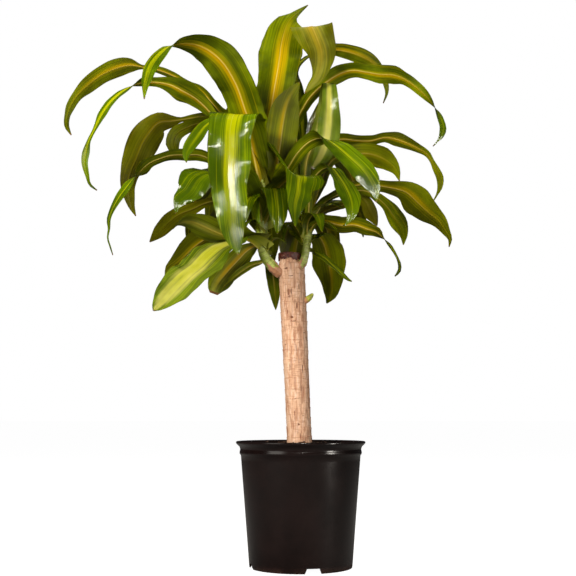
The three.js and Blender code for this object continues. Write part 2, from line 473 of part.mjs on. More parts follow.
function buildPot() {
  const foot = POT_FOOT_RADIUS;
  const pad = POT_PAD_RADIUS;
  const body = POT_BODY_TOP_RADIUS;
  const neck = body + POT_BEAD_OUT;
  const rim = POT_RIM_RADIUS;
  const top = POT_HEIGHT;
  const bead = top - POT_BEAD_DROP;
  const floor = POT_BASE_LIFT + POT_FLOOR;
  const profilePoints = [
    // the underside: the pad in the middle, the lifted floor and the ring
    [0, 0], [pad, 0], [pad + POT_PAD_SLOPE, POT_BASE_LIFT], [foot - POT_RING_WALL, POT_BASE_LIFT],
    [foot - POT_RING_WALL, 0], [foot - 0.8, 0], [foot, 2],
    // the flaring wall, the bead and the neck over it
    [body, bead - 5], [neck, bead - 3], [neck + 0.4, bead], [neck, bead + 2.5], [neck - 0.5, bead + 4.5],
    [neck - 0.2, bead + 8], [neck + 0.8, bead + 10.5],
    // the flange that is the rim
    [rim - 3.6, top - 7.2], [rim - 0.6, top - 4.2], [rim, top - 2.6], [rim - 0.3, top - 0.9],
    [rim - 1.6, top - 0.1], [rim - 5, top], [rim - POT_LIP_WIDTH, top - 1],
    // down the inside to the floor
    [innerRadiusAt(top - 8) + 1.2, top - 6], [innerRadiusAt(top - 14), top - 14],
    [innerRadiusAt(floor), floor], [padRadiusAt(floor), floor],
    [padRadiusAt(POT_FLOOR), POT_FLOOR], [0, POT_FLOOR],
  ].map(([x, y]) => new THREE.Vector2(x, y));
  let pot = toSolid(upright(new THREE.LatheGeometry(profilePoints, POT_SIDES)));

  const below = 2;                  // a notch's cutter starts this far under the pot
  const outline = new THREE.Shape([
    [-NOTCH_FOOT_WIDTH / 2, -below], [NOTCH_FOOT_WIDTH / 2, -below],
    [NOTCH_TOP_WIDTH / 2, NOTCH_HEIGHT], [-NOTCH_TOP_WIDTH / 2, NOTCH_HEIGHT],
  ].map(([x, y]) => new THREE.Vector2(x, y)));
  for (let k = 0; k < NOTCH_COUNT; k += 1) {
    const cutter = new THREE.ExtrudeGeometry(outline, { depth: NOTCH_DEPTH * 2, bevelEnabled: false });
    cutter.rotateX(Math.PI / 2).rotateZ(Math.PI / 2);
    cutter.translate(POT_FOOT_RADIUS - NOTCH_DEPTH, 0, 0);
    cutter.rotateZ(radians(NOTCH_FIRST_ANGLE + k * 360 / NOTCH_COUNT));
    pot = pot.subtract(toSolid(cutter));
  }
  return piece('pot', toGeometry(pot), COLOURS.pot, 0.42);
}

// ---------------------------------------------------------------- cane

/** Closed cane, plain in the soil and stepped at each leaf scar above it. `extra` widens it. */
function caneBody(extra) {
  const foot = vector(CANE_FOOT);
  const axis = vector(CANE_TOP).sub(foot);
  const height = axis.z;
  const loopAt = (z, radiusAt, wave, shift = 0) => Array.from({ length: CANE_SIDES }, (_, k) => {
    const angle = 2 * Math.PI * k / CANE_SIDES;
    const level = z + wave * (Math.sin(angle + z / 7) + 0.5 * Math.sin(2 * angle + z / 11));
    const radius = radiusAt(angle, z) + extra;
    return foot.clone().addScaledVector(axis, (level - foot.z) / height)
      .add(new THREE.Vector3(radius * Math.cos(angle) + shift, radius * Math.sin(angle), 0));
  });
  const plain = () => CANE_RADIUS;
  const swollen = (angle, z) => CANE_RADIUS + 0.5 * Math.sin(z / 61) + 0.4 * Math.cos(2 * angle + z / 90);
  const lipped = (angle, z) => swollen(angle, z) + SCAR_DEPTH / 2;
  const sunk = (angle, z) => swollen(angle, z) - SCAR_DEPTH / 2;
  const pared = (angle, z) => swollen(angle, z) - PARED_DEPTH;
  const scarWave = 1.2;             // how far a ring wanders up and down on its way round
  const paredWave = 0.5;
  const loops = [loopAt(foot.z - extra, plain, 0), loopAt(SCAR_LOWEST - SCAR_SPACING, plain, 0)];
  const paredFrom = CANE_TOP[2] - PARED_LENGTH;
  for (let z = SCAR_LOWEST; z < paredFrom - SCAR_SPACING / 2; z += SCAR_SPACING) {
    loops.push(loopAt(z, lipped, scarWave), loopAt(z + SCAR_LIP, sunk, scarWave));
  }
  loops.push(loopAt(paredFrom - PARED_SLOPE, swollen, paredWave),
    loopAt(paredFrom, pared, paredWave, PARED_SHIFT), loopAt(CANE_TOP[2] + extra, pared, 0, PARED_SHIFT));
  return skin(loops);
}

function buildCane() {
  return piece('cane', caneBody(0), COLOURS.bark, 0.85);
}

/** The wax that seals the cane's cut top: a cap with a ragged skirt. */
function buildSeal(caneRoom) {
  const axis = vector(CANE_TOP).sub(vector(CANE_FOOT)).normalize();
  const outer = CANE_RADIUS - PARED_DEPTH + GAP + SEAL_WALL;
  const ring = (radius, liftAt) => Array.from({ length: SEAL_SIDES }, (_, k) => {
    const angle = 2 * Math.PI * k / SEAL_SIDES;
    return vector(CANE_TOP).addScaledVector(axis, liftAt(angle))
      .add(new THREE.Vector3(radius * Math.cos(angle) + PARED_SHIFT, radius * Math.sin(angle), 0));
  });
  const skirt = (angle) => -SEAL_SKIRT + 1.6 * Math.sin(3 * angle + 0.6) + 1.2 * Math.sin(7 * angle);
  const cap = toSolid(skin([ring(outer, skirt), ring(outer + 0.3, () => -3),
    ring(outer - 0.6, () => SEAL_CROWN - 0.8), ring(outer - 2.6, () => SEAL_CROWN),
    ring(outer / 2, () => SEAL_CROWN - 0.3)]));
  return piece('cut_seal', toGeometry(cap.subtract(caneRoom)), COLOURS.wax, 0.5);
}

/** A small green bud that breaks from the bark on the right. */
function buildBud(caneRoom) {
  const curve = new THREE.QuadraticBezierCurve3(vector(BUD_ROOT), vector(BUD_BEND), vector(BUD_TIP));
  const steps = 8;
  const sides = 10;
  const bud = bar(curve, steps, sides, (s) => Math.max(BUD_POINT, BUD_RADIUS * Math.sqrt(1 - s * s)));
  return piece('side_bud', toGeometry(toSolid(bud).subtract(caneRoom)), COLOURS.bud, 0.6);
}

// ---------------------------------------------------------------- soil

function buildSoil(caneRoom) {
  const heap = (x, y) => SOIL_HEAP * Math.exp(-(((Math.hypot(x, y) - CANE_RADIUS) / SOIL_HEAP_REACH) ** 2));
  const bump = (x, y) => heap(x, y) + SOIL_RELIEF * (Math.sin(x / 9 + 1.3 * Math.sin(y / 13))
    * Math.cos(y / 8) + 0.5 * Math.sin((x + y) / 5));
  const circle = (radius, z) => Array.from({ length: SOIL_SIDES }, (_, k) => {
    const angle = 2 * Math.PI * k / SOIL_SIDES;
    return new THREE.Vector3(radius * Math.cos(angle), radius * Math.sin(angle), z);
  });
  // The pot's inner wall is a polygon of POT_SIDES, so the soil keeps inside its flats.
  const inFlats = (radius) => radius * Math.cos(Math.PI / POT_SIDES) - GAP;
  const roomAt = (z) => inFlats(innerRadiusAt(z));
  const floor = POT_BASE_LIFT + POT_FLOOR;
  const edge = SOIL_LEVEL - SOIL_EDGE;
  const loops = [circle(inFlats(padRadiusAt(POT_FLOOR)), POT_FLOOR + GAP),
    circle(inFlats(padRadiusAt(floor)), floor + GAP), circle(roomAt(floor), floor + GAP),
    circle(roomAt(edge), edge), circle(roomAt(edge), SOIL_LEVEL - 2)];
  SOIL_RINGS.forEach((share) => {
    const loop = circle(roomAt(edge) * share, SOIL_LEVEL);
    loop.forEach((point) => { point.z += bump(point.x, point.y); });
    loops.push(loop);
  });
  return piece('soil', toGeometry(toSolid(skin(loops)).subtract(caneRoom)), COLOURS.soil, 0.95);
}

// ---------------------------------------------------------------- leafy shoots

/** Point on a shoot's axis at height z. */
function axisAt(curve, z) {
  let low = 0;
  let high = 1;
  for (let k = 0; k < 40; k += 1) {
    const middle = (low + high) / 2;
    if (curve.getPointAt(middle).z < z) low = middle;
    else high = middle;
  }
  return curve.getPointAt(low);
}

/** Functions for a blade's half width and its twist in degrees at a share of its midrib's length. */
function bladeShape(leaf, midrib) {
  if (leaf.path[0].length > 3) {
    const lengths = midrib.getLengths();
    const last = lengths.length - 1;
    const places = [leaf.path[0], ...leaf.path];
    const shares = places.map((_, k) => lengths[k * last / leaf.path.length] / lengths[last]);
    const along = (column) => places.map((place, k) => [shares[k], place[column]]);
    const [widths, rolls] = [along(3), along(4)];
    return { halfAt: (s) => profile(widths, s) / 2, rollAt: (s) => profile(rolls, s) };
  }
  const belly = leaf.belly ?? BELLY;
  const warped = (s) => (s < belly ? 0.5 * s / belly : 0.5 + 0.5 * (s - belly) / (1 - belly));
  return {
    halfAt: (s) => leaf.width / 2 * profile(BLADE_OUTLINE, warped(s)),
    rollAt: (s) => evenProfile(leaf.roll, s),
  };
}

/** One leaf: a thin waved blade whose channel is deep where it clasps the stem and flat beyond. */
function blade(leaf, axisCurve, phase) {
  const root = axisAt(axisCurve, leaf.from);
  const midrib = new THREE.CatmullRomCurve3([root, ...leaf.path.map(vector)], false, 'centripetal');
  midrib.arcLengthDivisions = CURVE_DIVISIONS * leaf.path.length;
  const length = midrib.getLength();
  const { halfAt, rollAt } = bladeShape(leaf, midrib);
  const steps = THREE.MathUtils.clamp(Math.round(length / BLADE_STEP), BLADE_STEPS_LEAST, BLADE_STEPS_MOST);
  const outward = new THREE.Vector3(Math.cos(radians(leaf.facing)), Math.sin(radians(leaf.facing)), 0);
  const sideways = new THREE.Vector3(0, 0, 1).cross(outward);
  const width = leaf.width ?? Math.max(...leaf.path.map((place) => place[3]));
  const columns = width >= BROAD_BLADE ? [1, 0.5, 0, -0.5, -1] : [1, 0, -1];

  const surface = (s, across) => {
    const place = THREE.MathUtils.clamp(s, 0, 1);
    const along = midrib.getTangentAt(place);
    const side = sideways.clone().addScaledVector(along, -sideways.dot(along)).normalize();
    side.applyAxisAngle(along, radians(rollAt(place)));
    const face = along.clone().cross(side);
    const half = halfAt(place);
    const bow = THREE.MathUtils.lerp(BLADE_CLASP, BLADE_BOW, THREE.MathUtils.smoothstep(place, 0, 0.3));
    const reach = Math.abs(across);
    const wave = RIPPLE_HEIGHT * Math.sin(Math.PI * place) ** 0.5 * reach ** 2
      * Math.sin(2 * Math.PI * length * place / RIPPLE_LENGTH + phase + (across > 0 ? RIPPLE_LAG : 0));
    const lift = half * (bow * reach * (1 - 0.35 * reach) + wave);
    const spread = half * across / Math.sqrt(1 + bow * bow);
    return midrib.getPointAt(place).addScaledVector(side, spread).addScaledVector(face, lift);
  };

  const loops = [];
  for (let row = 0; row <= steps; row += 1) {
    const s = row / steps;
    const centres = columns.map((across) => surface(s, across));
    const normals = columns.map((across) => {
      const lengthways = surface(s + 0.01, across).sub(surface(s - 0.01, across));
      const crossways = surface(s, across + 0.1).sub(surface(s, across - 0.1));
      return lengthways.cross(crossways).normalize().multiplyScalar(BLADE_THICKNESS / 2);
    });
    const upper = centres.map((point, k) => point.clone().add(normals[k]));
    const lower = centres.map((point, k) => point.clone().sub(normals[k]));
    loops.push([...upper, ...lower.reverse()]);
  }
  return bladeSkin(loops);
}

/** Closes a blade's loops, with both faces split along the same diagonals. */
function bladeSkin(loops) {
  const count = loops[0].length;
  const columns = count / 2;
  const positions = loops.flat().flatMap((point) => [point.x, point.y, point.z]);
  const faces = [];
  const quad = (a, b, c, d, flip) => {
    if (flip) faces.push(a, b, d, b, c, d);
    else faces.push(a, b, c, a, c, d);
  };
  for (let row = 0; row + 1 < loops.length; row += 1) {
    for (let k = 0; k < count; k += 1) {
      const a = row * count + k;
      const b = row * count + (k + 1) % count;
      const isLower = k >= columns;
      quad(a, b, b + count, a + count, isLower);
    }
  }
  const last = (loops.length - 1) * count;
  for (let k = 0; k + 1 < columns; k += 1) {
    quad(count - 1 - k, count - 2 - k, k + 1, k, false);
    quad(last + k, last + k + 1, last + count - 2 - k, last + count - 1 - k, false);
  }
  const geometry = new THREE.BufferGeometry();
  geometry.setAttribute('position', new THREE.Float32BufferAttribute(positions, 3));
  geometry.setIndex(faces);
  return geometry;
}

/** A stem with all its leaves fused to it, cut clear of the cane that it breaks from. */
function buildShoot(name, shoot, caneRoom) {
  const curve = new THREE.CatmullRomCurve3(shoot.axis.map(vector), false, 'centripetal');
  const stem = bar(curve, STEM_STEPS, STEM_SIDES, (s) => evenProfile(shoot.radii, s));
  const blades = shoot.leaves.map((leaf, k) => toSolid(blade(leaf, curve, LEAF_TURN * k)));
  const whole = blades.reduce((sum, leaf) => sum.add(leaf), toSolid(stem));
  return piece(name, outerShell(toGeometry(whole.subtract(caneRoom))), COLOURS.leaf, 0.4);
}

// ---------------------------------------------------------------- the plant in its pot

const caneRoom = toSolid(caneBody(GAP));

const plant = new THREE.Group();
plant.name = 'potted_corn_plant';
plant.add(
  buildPot(),
  buildSoil(caneRoom),
  buildCane(),
  buildSeal(caneRoom),
  buildBud(caneRoom),
  buildShoot('shoot_left', LEFT_SHOOT, caneRoom),
  buildShoot('shoot_right', RIGHT_SHOOT, caneRoom),
);

export default plant;
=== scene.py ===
"""A potted corn plant dressed for its picture: long striped leaves on two ringed shoots, a bark-covered
cane with a waxed cut, crumbly soil and a black nursery pot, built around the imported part.
Sizes are written in millimetres times MM, and tables of points in plain millimetres that are
multiplied where they are read; everything that is built is in metres, +Z up."""

import math
from dataclasses import dataclass, field

import bmesh
import bpy
import numpy as np
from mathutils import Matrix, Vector, noise


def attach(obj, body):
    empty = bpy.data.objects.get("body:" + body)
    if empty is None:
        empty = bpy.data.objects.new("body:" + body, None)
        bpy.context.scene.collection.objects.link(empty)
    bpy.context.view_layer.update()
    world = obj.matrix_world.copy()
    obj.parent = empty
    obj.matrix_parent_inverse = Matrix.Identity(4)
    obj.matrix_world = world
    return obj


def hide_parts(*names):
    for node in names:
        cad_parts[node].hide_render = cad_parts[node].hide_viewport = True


MM = 0.001
BODY = "root"

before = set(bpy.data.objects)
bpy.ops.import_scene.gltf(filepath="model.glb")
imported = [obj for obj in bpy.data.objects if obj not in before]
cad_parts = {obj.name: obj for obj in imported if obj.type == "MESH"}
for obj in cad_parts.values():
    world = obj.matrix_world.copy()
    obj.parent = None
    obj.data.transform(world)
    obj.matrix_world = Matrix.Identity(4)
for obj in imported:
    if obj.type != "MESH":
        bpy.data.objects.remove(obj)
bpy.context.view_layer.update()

# ---------------------------------------------------------------- the photograph's view

CAMERA_PLACE = (-23 * MM, -2000 * MM, 273 * MM)
CAMERA_PITCH = math.radians(6.59)       # tilted up from level
CAMERA_LENS = 68.1                      # millimetres
SENSOR_WIDTH = 36

# ---------------------------------------------------------------- sizes shared with the part

POT_HEIGHT = 224 * MM
POT_RIM_RADIUS = 117.5 * MM
POT_BODY_TOP_RADIUS = 108.5 * MM
POT_FOOT_RADIUS = 92.5 * MM
POT_WALL = 2 * MM
POT_FLOOR = 2.6 * MM
POT_BEAD_OUT = 2 * MM                   # the bead below the rim stands out this far from the body
POT_BEAD_DROP = 20 * MM
POT_BASE_LIFT = 10 * MM                 # of the floor's underside, inside the ring that the pot stands on
POT_RING_WALL = 3 * MM
POT_PAD_RADIUS = 27 * MM                # the middle of the floor is sunk to the ground
POT_PAD_SLOPE = 1.5 * MM
NOTCH_COUNT = 4
NOTCH_HEIGHT = 9 * MM
NOTCH_TOP_WIDTH = 23 * MM
NOTCH_FOOT_WIDTH = 32 * MM
NOTCH_DEPTH = 9 * MM
NOTCH_FIRST_ANGLE = -77                 # degrees; -90 faces the viewer

SOIL_LEVEL = 213 * MM
SOIL_RELIEF = 3                         # millimetres
SOIL_HEAP = 6                           # its height against the cane, in millimetres
SOIL_HEAP_REACH = 22                    # how far out it sinks, in millimetres

CANE_RADIUS = 23.4 * MM
CANE_FOOT = Vector((3, 0, 110)) * MM
CANE_TOP = Vector((-17.3, 0, 567)) * MM
SCAR_SPACING = 17.5 * MM
SCAR_DEPTH = 1.1 * MM
SCAR_LIP = 2 * MM
SCAR_LOWEST = 231 * MM
PARED_LENGTH = 15 * MM
PARED_DEPTH = 4.5 * MM
PARED_SHIFT = -3 * MM                   # along X, of the pared end from the cane's middle
PARED_SLOPE = 4 * MM

BLADE_BOW = 0.10                        # lift of a blade's edges from its midrib, per half width
BLADE_CLASP = 0.95                      # the same where the blade clasps its stem
RIPPLE_LENGTH = 92 * MM
RIPPLE_HEIGHT = 0.13                    # per half width
RIPPLE_SHIFT = 1.7                      # radians from one leaf's ripple to the next one's
BELLY = 0.46                            # where a plainer blade is widest, along its length

# Half width of a blade from root (0) past its belly (0.5) to tip (1), per half of its greatest width.
BLADE_OUTLINE = [[0, 0.3], [0.12, 0.4], [0.26, 0.64], [0.4, 0.93], [0.5, 1], [0.62, 0.93],
                 [0.76, 0.72], [0.88, 0.44], [0.96, 0.2], [1, 0.03]]


@dataclass
class Leaf:
    """One leaf, in millimetres and degrees: the height `start` where it roots on its shoot's axis, the
    compass angle `facing` that it leans to (0 right, 90 away from the viewer), and the `path` of places
    that its midrib passes, each with the blade's width and twist there. A plainer leaf's places go
    without these two, and it has its greatest `width`, its twist `roll` from root to tip and where its
    `belly` is along it. `tone` is from -1, dull and old, to 1, young and bright, and its dull end is also
    painted shade on leaves deep in the crown; `band` is how strongly its yellow band shows,
    `painted_sheen` how far a painted pale sheen, standing for the lights' highlights, veils it, and `dry`
    the share of its length that is a dead tip."""

    start: float
    facing: float
    path: list
    width: float = 0
    roll: list = field(default_factory=lambda: [0, 0])
    belly: float = BELLY
    tone: float = 0.0
    band: float = 0.6
    painted_sheen: float = 0.0
    dry: float = 0.006


# Centre lines of the two stems from the cane up, their radii, and their leaves from the top down.
LEFT_SHOOT_AXIS = [[-36, -8, 529], [-51, -10, 542], [-65, -10, 561], [-72, -8, 599], [-68, -6, 660],
                   [-62, -4, 747]]
LEFT_SHOOT_RADII = [8, 10, 11, 12.5, 14, 2]
LEFT_SHOOT_LEAVES = [
    Leaf(717, -100, band=1.0, path=[
        [-71, -20, 779, 42, 0], [-57, -15, 828, 58, 0], [-49, 0, 880, 70, 0], [-40, 18, 941, 82, 0],
        [-36, 30, 978, 85, 0], [-31, 39, 1004, 80, 0], [-26, 44, 1022, 67, 0], [-20, 48, 1034, 47, 5],
        [-14, 50, 1042, 20, 10], [-4, 50, 1051, 12, 15], [16, 48, 1065, 2, 30]]),
    Leaf(697, 208, band=0.9, path=[
        [-79, -12, 794, 81, 10], [-97, -24, 821, 70, 30], [-118, -56, 873, 67, 45],
        [-144, -84, 909, 67, 48], [-174, -100, 928, 55, 42], [-202, -112, 932, 39, 25],
        [-229, -124, 924, 32, -5], [-248, -131, 906, 27, -35], [-263, -138, 882, 29, -45],
        [-270, -143, 857, 22, -45], [-273, -146, 838, 11, -40], [-274, -148, 819, 2, -40]]),
    Leaf(705, 168, tone=-0.4, band=0.9, path=[
        [-123, 10, 811, 50, 20], [-148, 18, 838, 33, 40], [-170, 24, 865, 21, 50], [-192, 34, 890, 20, 45],
        [-216, 42, 905, 18, 40], [-240, 50, 921, 18, 40], [-262, 54, 932, 18, 40], [-282, 57, 939, 17, 40],
        [-305, 60, 944, 11, 40], [-332, 66, 950, 30, 50], [-362, 70, 944, 37, 55], [-391, 74, 931, 34, 55],
        [-418, 80, 912, 30, 55], [-438, 84, 893, 21, 55], [-451, 87, 872, 18, 50], [-457, 88, 852, 12, 40],
        [-457, 88, 834, 12, 30], [-448, 88, 816, 3, 30]]),
    Leaf(689, 192, band=0.8, path=[
        [-135, -12, 805, 28, 20], [-161, -18, 825, 19, 40], [-179, -22, 843, 27, 50],
        [-196, -26, 857, 38, 50], [-218, -34, 868, 47, 50], [-241, -40, 878, 32, 50],
        [-268, -46, 881, 19, 45], [-295, -52, 878, 27, 20], [-319, -58, 864, 28, -30],
        [-342, -63, 843, 22, -45], [-360, -67, 816, 20, -45], [-374, -71, 784, 11, -45],
        [-383, -73, 763, 10, -50], [-387, -75, 742, 17, -50], [-389, -76, 722, 15, -45],
        [-384, -76, 700, 11, -40], [-379, -76, 683, 8, -30], [-366, -76, 672, 3, -30]]),
    Leaf(711, 120, width=60, tone=-0.4, band=0.5, path=[
        [-72, 30, 785], [-86, 70, 843], [-108, 130, 885], [-134, 190, 873], [-155, 232, 820],
        [-168, 252, 750]]),
    Leaf(660, 256, tone=0.2, band=0.85, path=[
        [-96, -50, 784, 65, 0], [-109, -104, 799, 96, -5], [-118, -138, 793, 85, -12],
        [-123, -156, 765, 79, -25], [-124, -165, 724, 77, -30], [-125, -174, 669, 69, -30],
        [-121, -180, 628, 59, -30], [-118, -184, 590, 45, -25], [-111, -188, 557, 24, -20],
        [-106, -190, 538, 2, -20]]),
    Leaf(705, -45, width=15, belly=0.5, tone=0.6, band=0.3, path=[
        [-69, -24, 787], [-50, -45, 755], [-32, -68, 724], [-18, -88, 694], [-9, -98, 668]]),
    Leaf(695, 224, tone=0.5, band=0.7, path=[
        [-112, -32, 810, 41, 0], [-140, -52, 810, 41, -20], [-160, -62, 804, 20, -35],
        [-174, -70, 792, 21, -45], [-187, -80, 771, 25, -50], [-199, -88, 750, 24, -45],
        [-205, -93, 734, 14, -45], [-204, -97, 718, 2, -40]]),
    Leaf(665, -75, tone=-0.5, band=0.45, path=[
        [-45, -28, 716, 34, 0], [-38, -34, 760, 50, 0], [-32, -38, 804, 63, 0], [-25, -38, 838, 51, 0],
        [-14, -36, 865, 25, 0], [-1, -34, 885, 2, 0]]),
    Leaf(653, -38, band=0.3, path=[
        [-34, -35, 700, 26, -10], [-21, -48, 723, 25, -40], [-3, -62, 747, 29, -50],
        [17, -76, 762, 30, -45], [38, -88, 765, 44, -10], [61, -98, 749, 39, 25], [83, -107, 727, 44, 40],
        [104, -114, 705, 47, 45], [119, -120, 683, 38, 48], [129, -125, 660, 19, 48],
        [131, -128, 640, 2, 48]]),
    Leaf(609, -72, tone=-0.1, band=0.0, path=[
        [-52, -38, 651, 26, 0], [-52, -62, 668, 38, 0], [-47, -84, 674, 57, 0], [-43, -98, 650, 42, 0],
        [-41, -104, 627, 37, 0], [-41, -108, 607, 22, 0], [-42, -110, 587, 2, 0]]),
    Leaf(661, 184, tone=-0.5, band=0.3, path=[
        [-122, -6, 782, 42, 0], [-158, -6, 811, 40, 20], [-186, -6, 815, 26, 40], [-212, -8, 806, 25, 60],
        [-232, -9, 793, 28, 60], [-238, -9, 776, 29, 60], [-234, -8, 759, 18, 60], [-230, -6, 746, 2, 60]]),
    Leaf(645, 165, tone=-0.8, band=0.3, path=[
        [-110, 6, 789, 75, 20], [-148, 18, 821, 31, 50], [-181, 26, 835, 17, 60], [-207, 33, 835, 14, 60],
        [-226, 36, 833, 10, 60], [-248, 41, 831, 26, 65], [-271, 45, 829, 41, 70], [-288, 49, 812, 56, 60],
        [-303, 53, 789, 65, 50], [-314, 57, 763, 57, 45], [-326, 60, 736, 42, 40], [-331, 61, 709, 31, 45],
        [-327, 61, 683, 21, 50], [-323, 61, 668, 13, 50], [-315, 61, 650, 2, 50]]),
    Leaf(617, 194, tone=-0.1, band=0.4, path=[
        [-127, -12, 731, 30, 20], [-162, -22, 740, 22, 40], [-186, -28, 748, 24, 50],
        [-211, -34, 747, 24, 50], [-236, -40, 745, 23, 50], [-257, -45, 738, 21, 50],
        [-275, -49, 729, 22, 50], [-289, -52, 716, 33, 35], [-303, -55, 699, 24, -10],
        [-315, -58, 682, 22, -40], [-329, -61, 661, 20, -45], [-339, -64, 640, 16, -40],
        [-345, -66, 621, 13, -30], [-344, -68, 605, 10, -20], [-346, -70, 586, 6, -20],
        [-341, -71, 570, 6, -20], [-336, -72, 555, 3, -20]]),
    Leaf(607, 232, tone=0.3, band=0.05, path=[
        [-111, -38, 699, 73, 0], [-139, -60, 705, 96, -10], [-165, -80, 701, 96, -20],
        [-183, -92, 689, 72, -30], [-198, -102, 663, 47, -35], [-212, -109, 649, 29, -40],
        [-218, -113, 634, 12, -40], [-221, -114, 623, 2, -40]]),
    Leaf(597, 170, tone=-0.9, band=0.2, path=[
        [-122, -4, 653, 50, 0], [-154, 2, 668, 26, 35], [-178, 8, 665, 18, 45], [-203, 12, 654, 24, 50],
        [-226, 16, 646, 29, 55], [-245, 20, 633, 33, 55], [-260, 26, 619, 29, 55], [-274, 30, 605, 16, 55],
        [-284, 32, 595, 2, 55]]),
    Leaf(583, 200, tone=-0.3, band=0.3, painted_sheen=0.2, path=[
        [-94, -26, 590, 65, 0], [-125, -44, 592, 85, 15], [-153, -58, 599, 59, 40],
        [-176, -70, 608, 49, 45], [-196, -80, 614, 35, 40], [-213, -86, 612, 32, 20],
        [-227, -90, 599, 4, 0]]),
    Leaf(577, 172, tone=-0.5, band=0.5, path=[
        [-112, -2, 601, 58, 0], [-146, 6, 606, 62, 30], [-174, 12, 599, 55, 45], [-197, 18, 585, 52, 55],
        [-214, 22, 569, 46, 60], [-231, 26, 554, 32, 60], [-246, 29, 543, 18, 60], [-254, 30, 532, 2, 60]]),
    Leaf(567, 212, tone=0.2, band=0.9, painted_sheen=0.55, path=[
        [-100, -30, 589, 57, 0], [-123, -46, 581, 68, -15], [-145, -62, 569, 65, -25],
        [-164, -78, 550, 74, -30], [-180, -94, 530, 90, -30], [-196, -108, 514, 85, -32],
        [-212, -120, 496, 69, -35], [-227, -130, 478, 61, -35], [-238, -138, 464, 44, -35],
        [-247, -143, 454, 26, -35], [-253, -146, 448, 4, -35]]),
    Leaf(561, 165, tone=-0.1, band=0.9, painted_sheen=0.15, dry=0.03, path=[
        [-79, -2, 582, 41, 0], [-97, 4, 576, 38, 30], [-114, 10, 560, 43, 45], [-133, 16, 540, 49, 50],
        [-150, 22, 520, 47, 50], [-158, 25, 507, 35, 50], [-162, 26, 496, 16, 50]]),
    Leaf(558, 196, tone=-0.3, band=0.1, path=[
        [-69, -12, 551, 12, 50], [-89, -16, 545, 15, 50], [-107, -22, 533, 18, 50],
        [-125, -28, 517, 16, 50], [-139, -30, 502, 3, 50]]),
    Leaf(619, 235, width=32, tone=-0.2, band=0.1, path=[
        [-82, -28, 661], [-88, -48, 669], [-84, -62, 651], [-74, -68, 611]]),
    Leaf(587, 200, width=22, band=0.2, path=[
        [-80, -13, 611], [-87, -18, 633], [-92, -21, 657]]),
    Leaf(553, 80, width=28, belly=0.5, band=0.25, path=[
        [-60, 18, 563], [-53, 30, 542], [-49, 36, 514], [-47, 40, 488], [-46, 42, 467]]),
    Leaf(677, 128, width=62, tone=-0.4, band=0.5, path=[
        [-88, 42, 757], [-120, 96, 805], [-152, 160, 793], [-178, 212, 733], [-190, 240, 645]]),
    Leaf(653, 99, width=60, tone=-0.5, band=0.5, path=[
        [-64, 48, 727], [-68, 112, 783], [-72, 180, 775], [-75, 235, 713], [-76, 262, 623]]),
    Leaf(697, 96, width=54, tone=-0.3, path=[
        [-64, 36, 789], [-66, 86, 861], [-62, 150, 893], [-57, 205, 871], [-54, 240, 801]]),
    Leaf(627, 146, width=58, tone=-0.4, band=0.5, path=[
        [-98, 28, 693], [-150, 74, 725], [-196, 112, 706], [-218, 138, 655], [-222, 150, 602]]),
    Leaf(597, 135, width=56, tone=-0.6, band=0.4, path=[
        [-98, 34, 645], [-142, 86, 665], [-178, 130, 627], [-200, 160, 553]]),
    Leaf(645, -50, tone=0.2, path=[
        [-38, -30, 689, 48, 0], [-18, -58, 698, 81, 0], [-2, -84, 697, 96, 0], [-3, -102, 680, 60, 0],
        [-5, -112, 660, 54, 0], [-10, -118, 639, 40, 0], [-11, -121, 620, 23, 0], [-10, -123, 597, 2, 0]]),
    Leaf(561, -20, width=20, tone=0.2, band=0.1, path=[
        [-51, -20, 591], [-38, -32, 592], [-25, -38, 580]]),
    Leaf(611, 40, width=36, tone=-0.5, band=0.3, path=[
        [-48, 38, 657], [-33, 66, 680], [-19, 86, 672], [-11, 98, 637]]),
    Leaf(605, 250, width=40, tone=-0.2, band=0.2, path=[
        [-74, -34, 653], [-85, -56, 665], [-95, -72, 651], [-100, -80, 613]]),
    Leaf(597, -30, width=42, belly=0.55, tone=-0.6, band=0.1, path=[
        [-66, 14, 626], [-57, 30, 629], [-53, 38, 602], [-51, 40, 550]]),
    Leaf(609, 212, width=26, tone=0.1, band=0.1, path=[
        [-82, -14, 625], [-95, -22, 626], [-104, -28, 608], [-109, -30, 589]]),
]

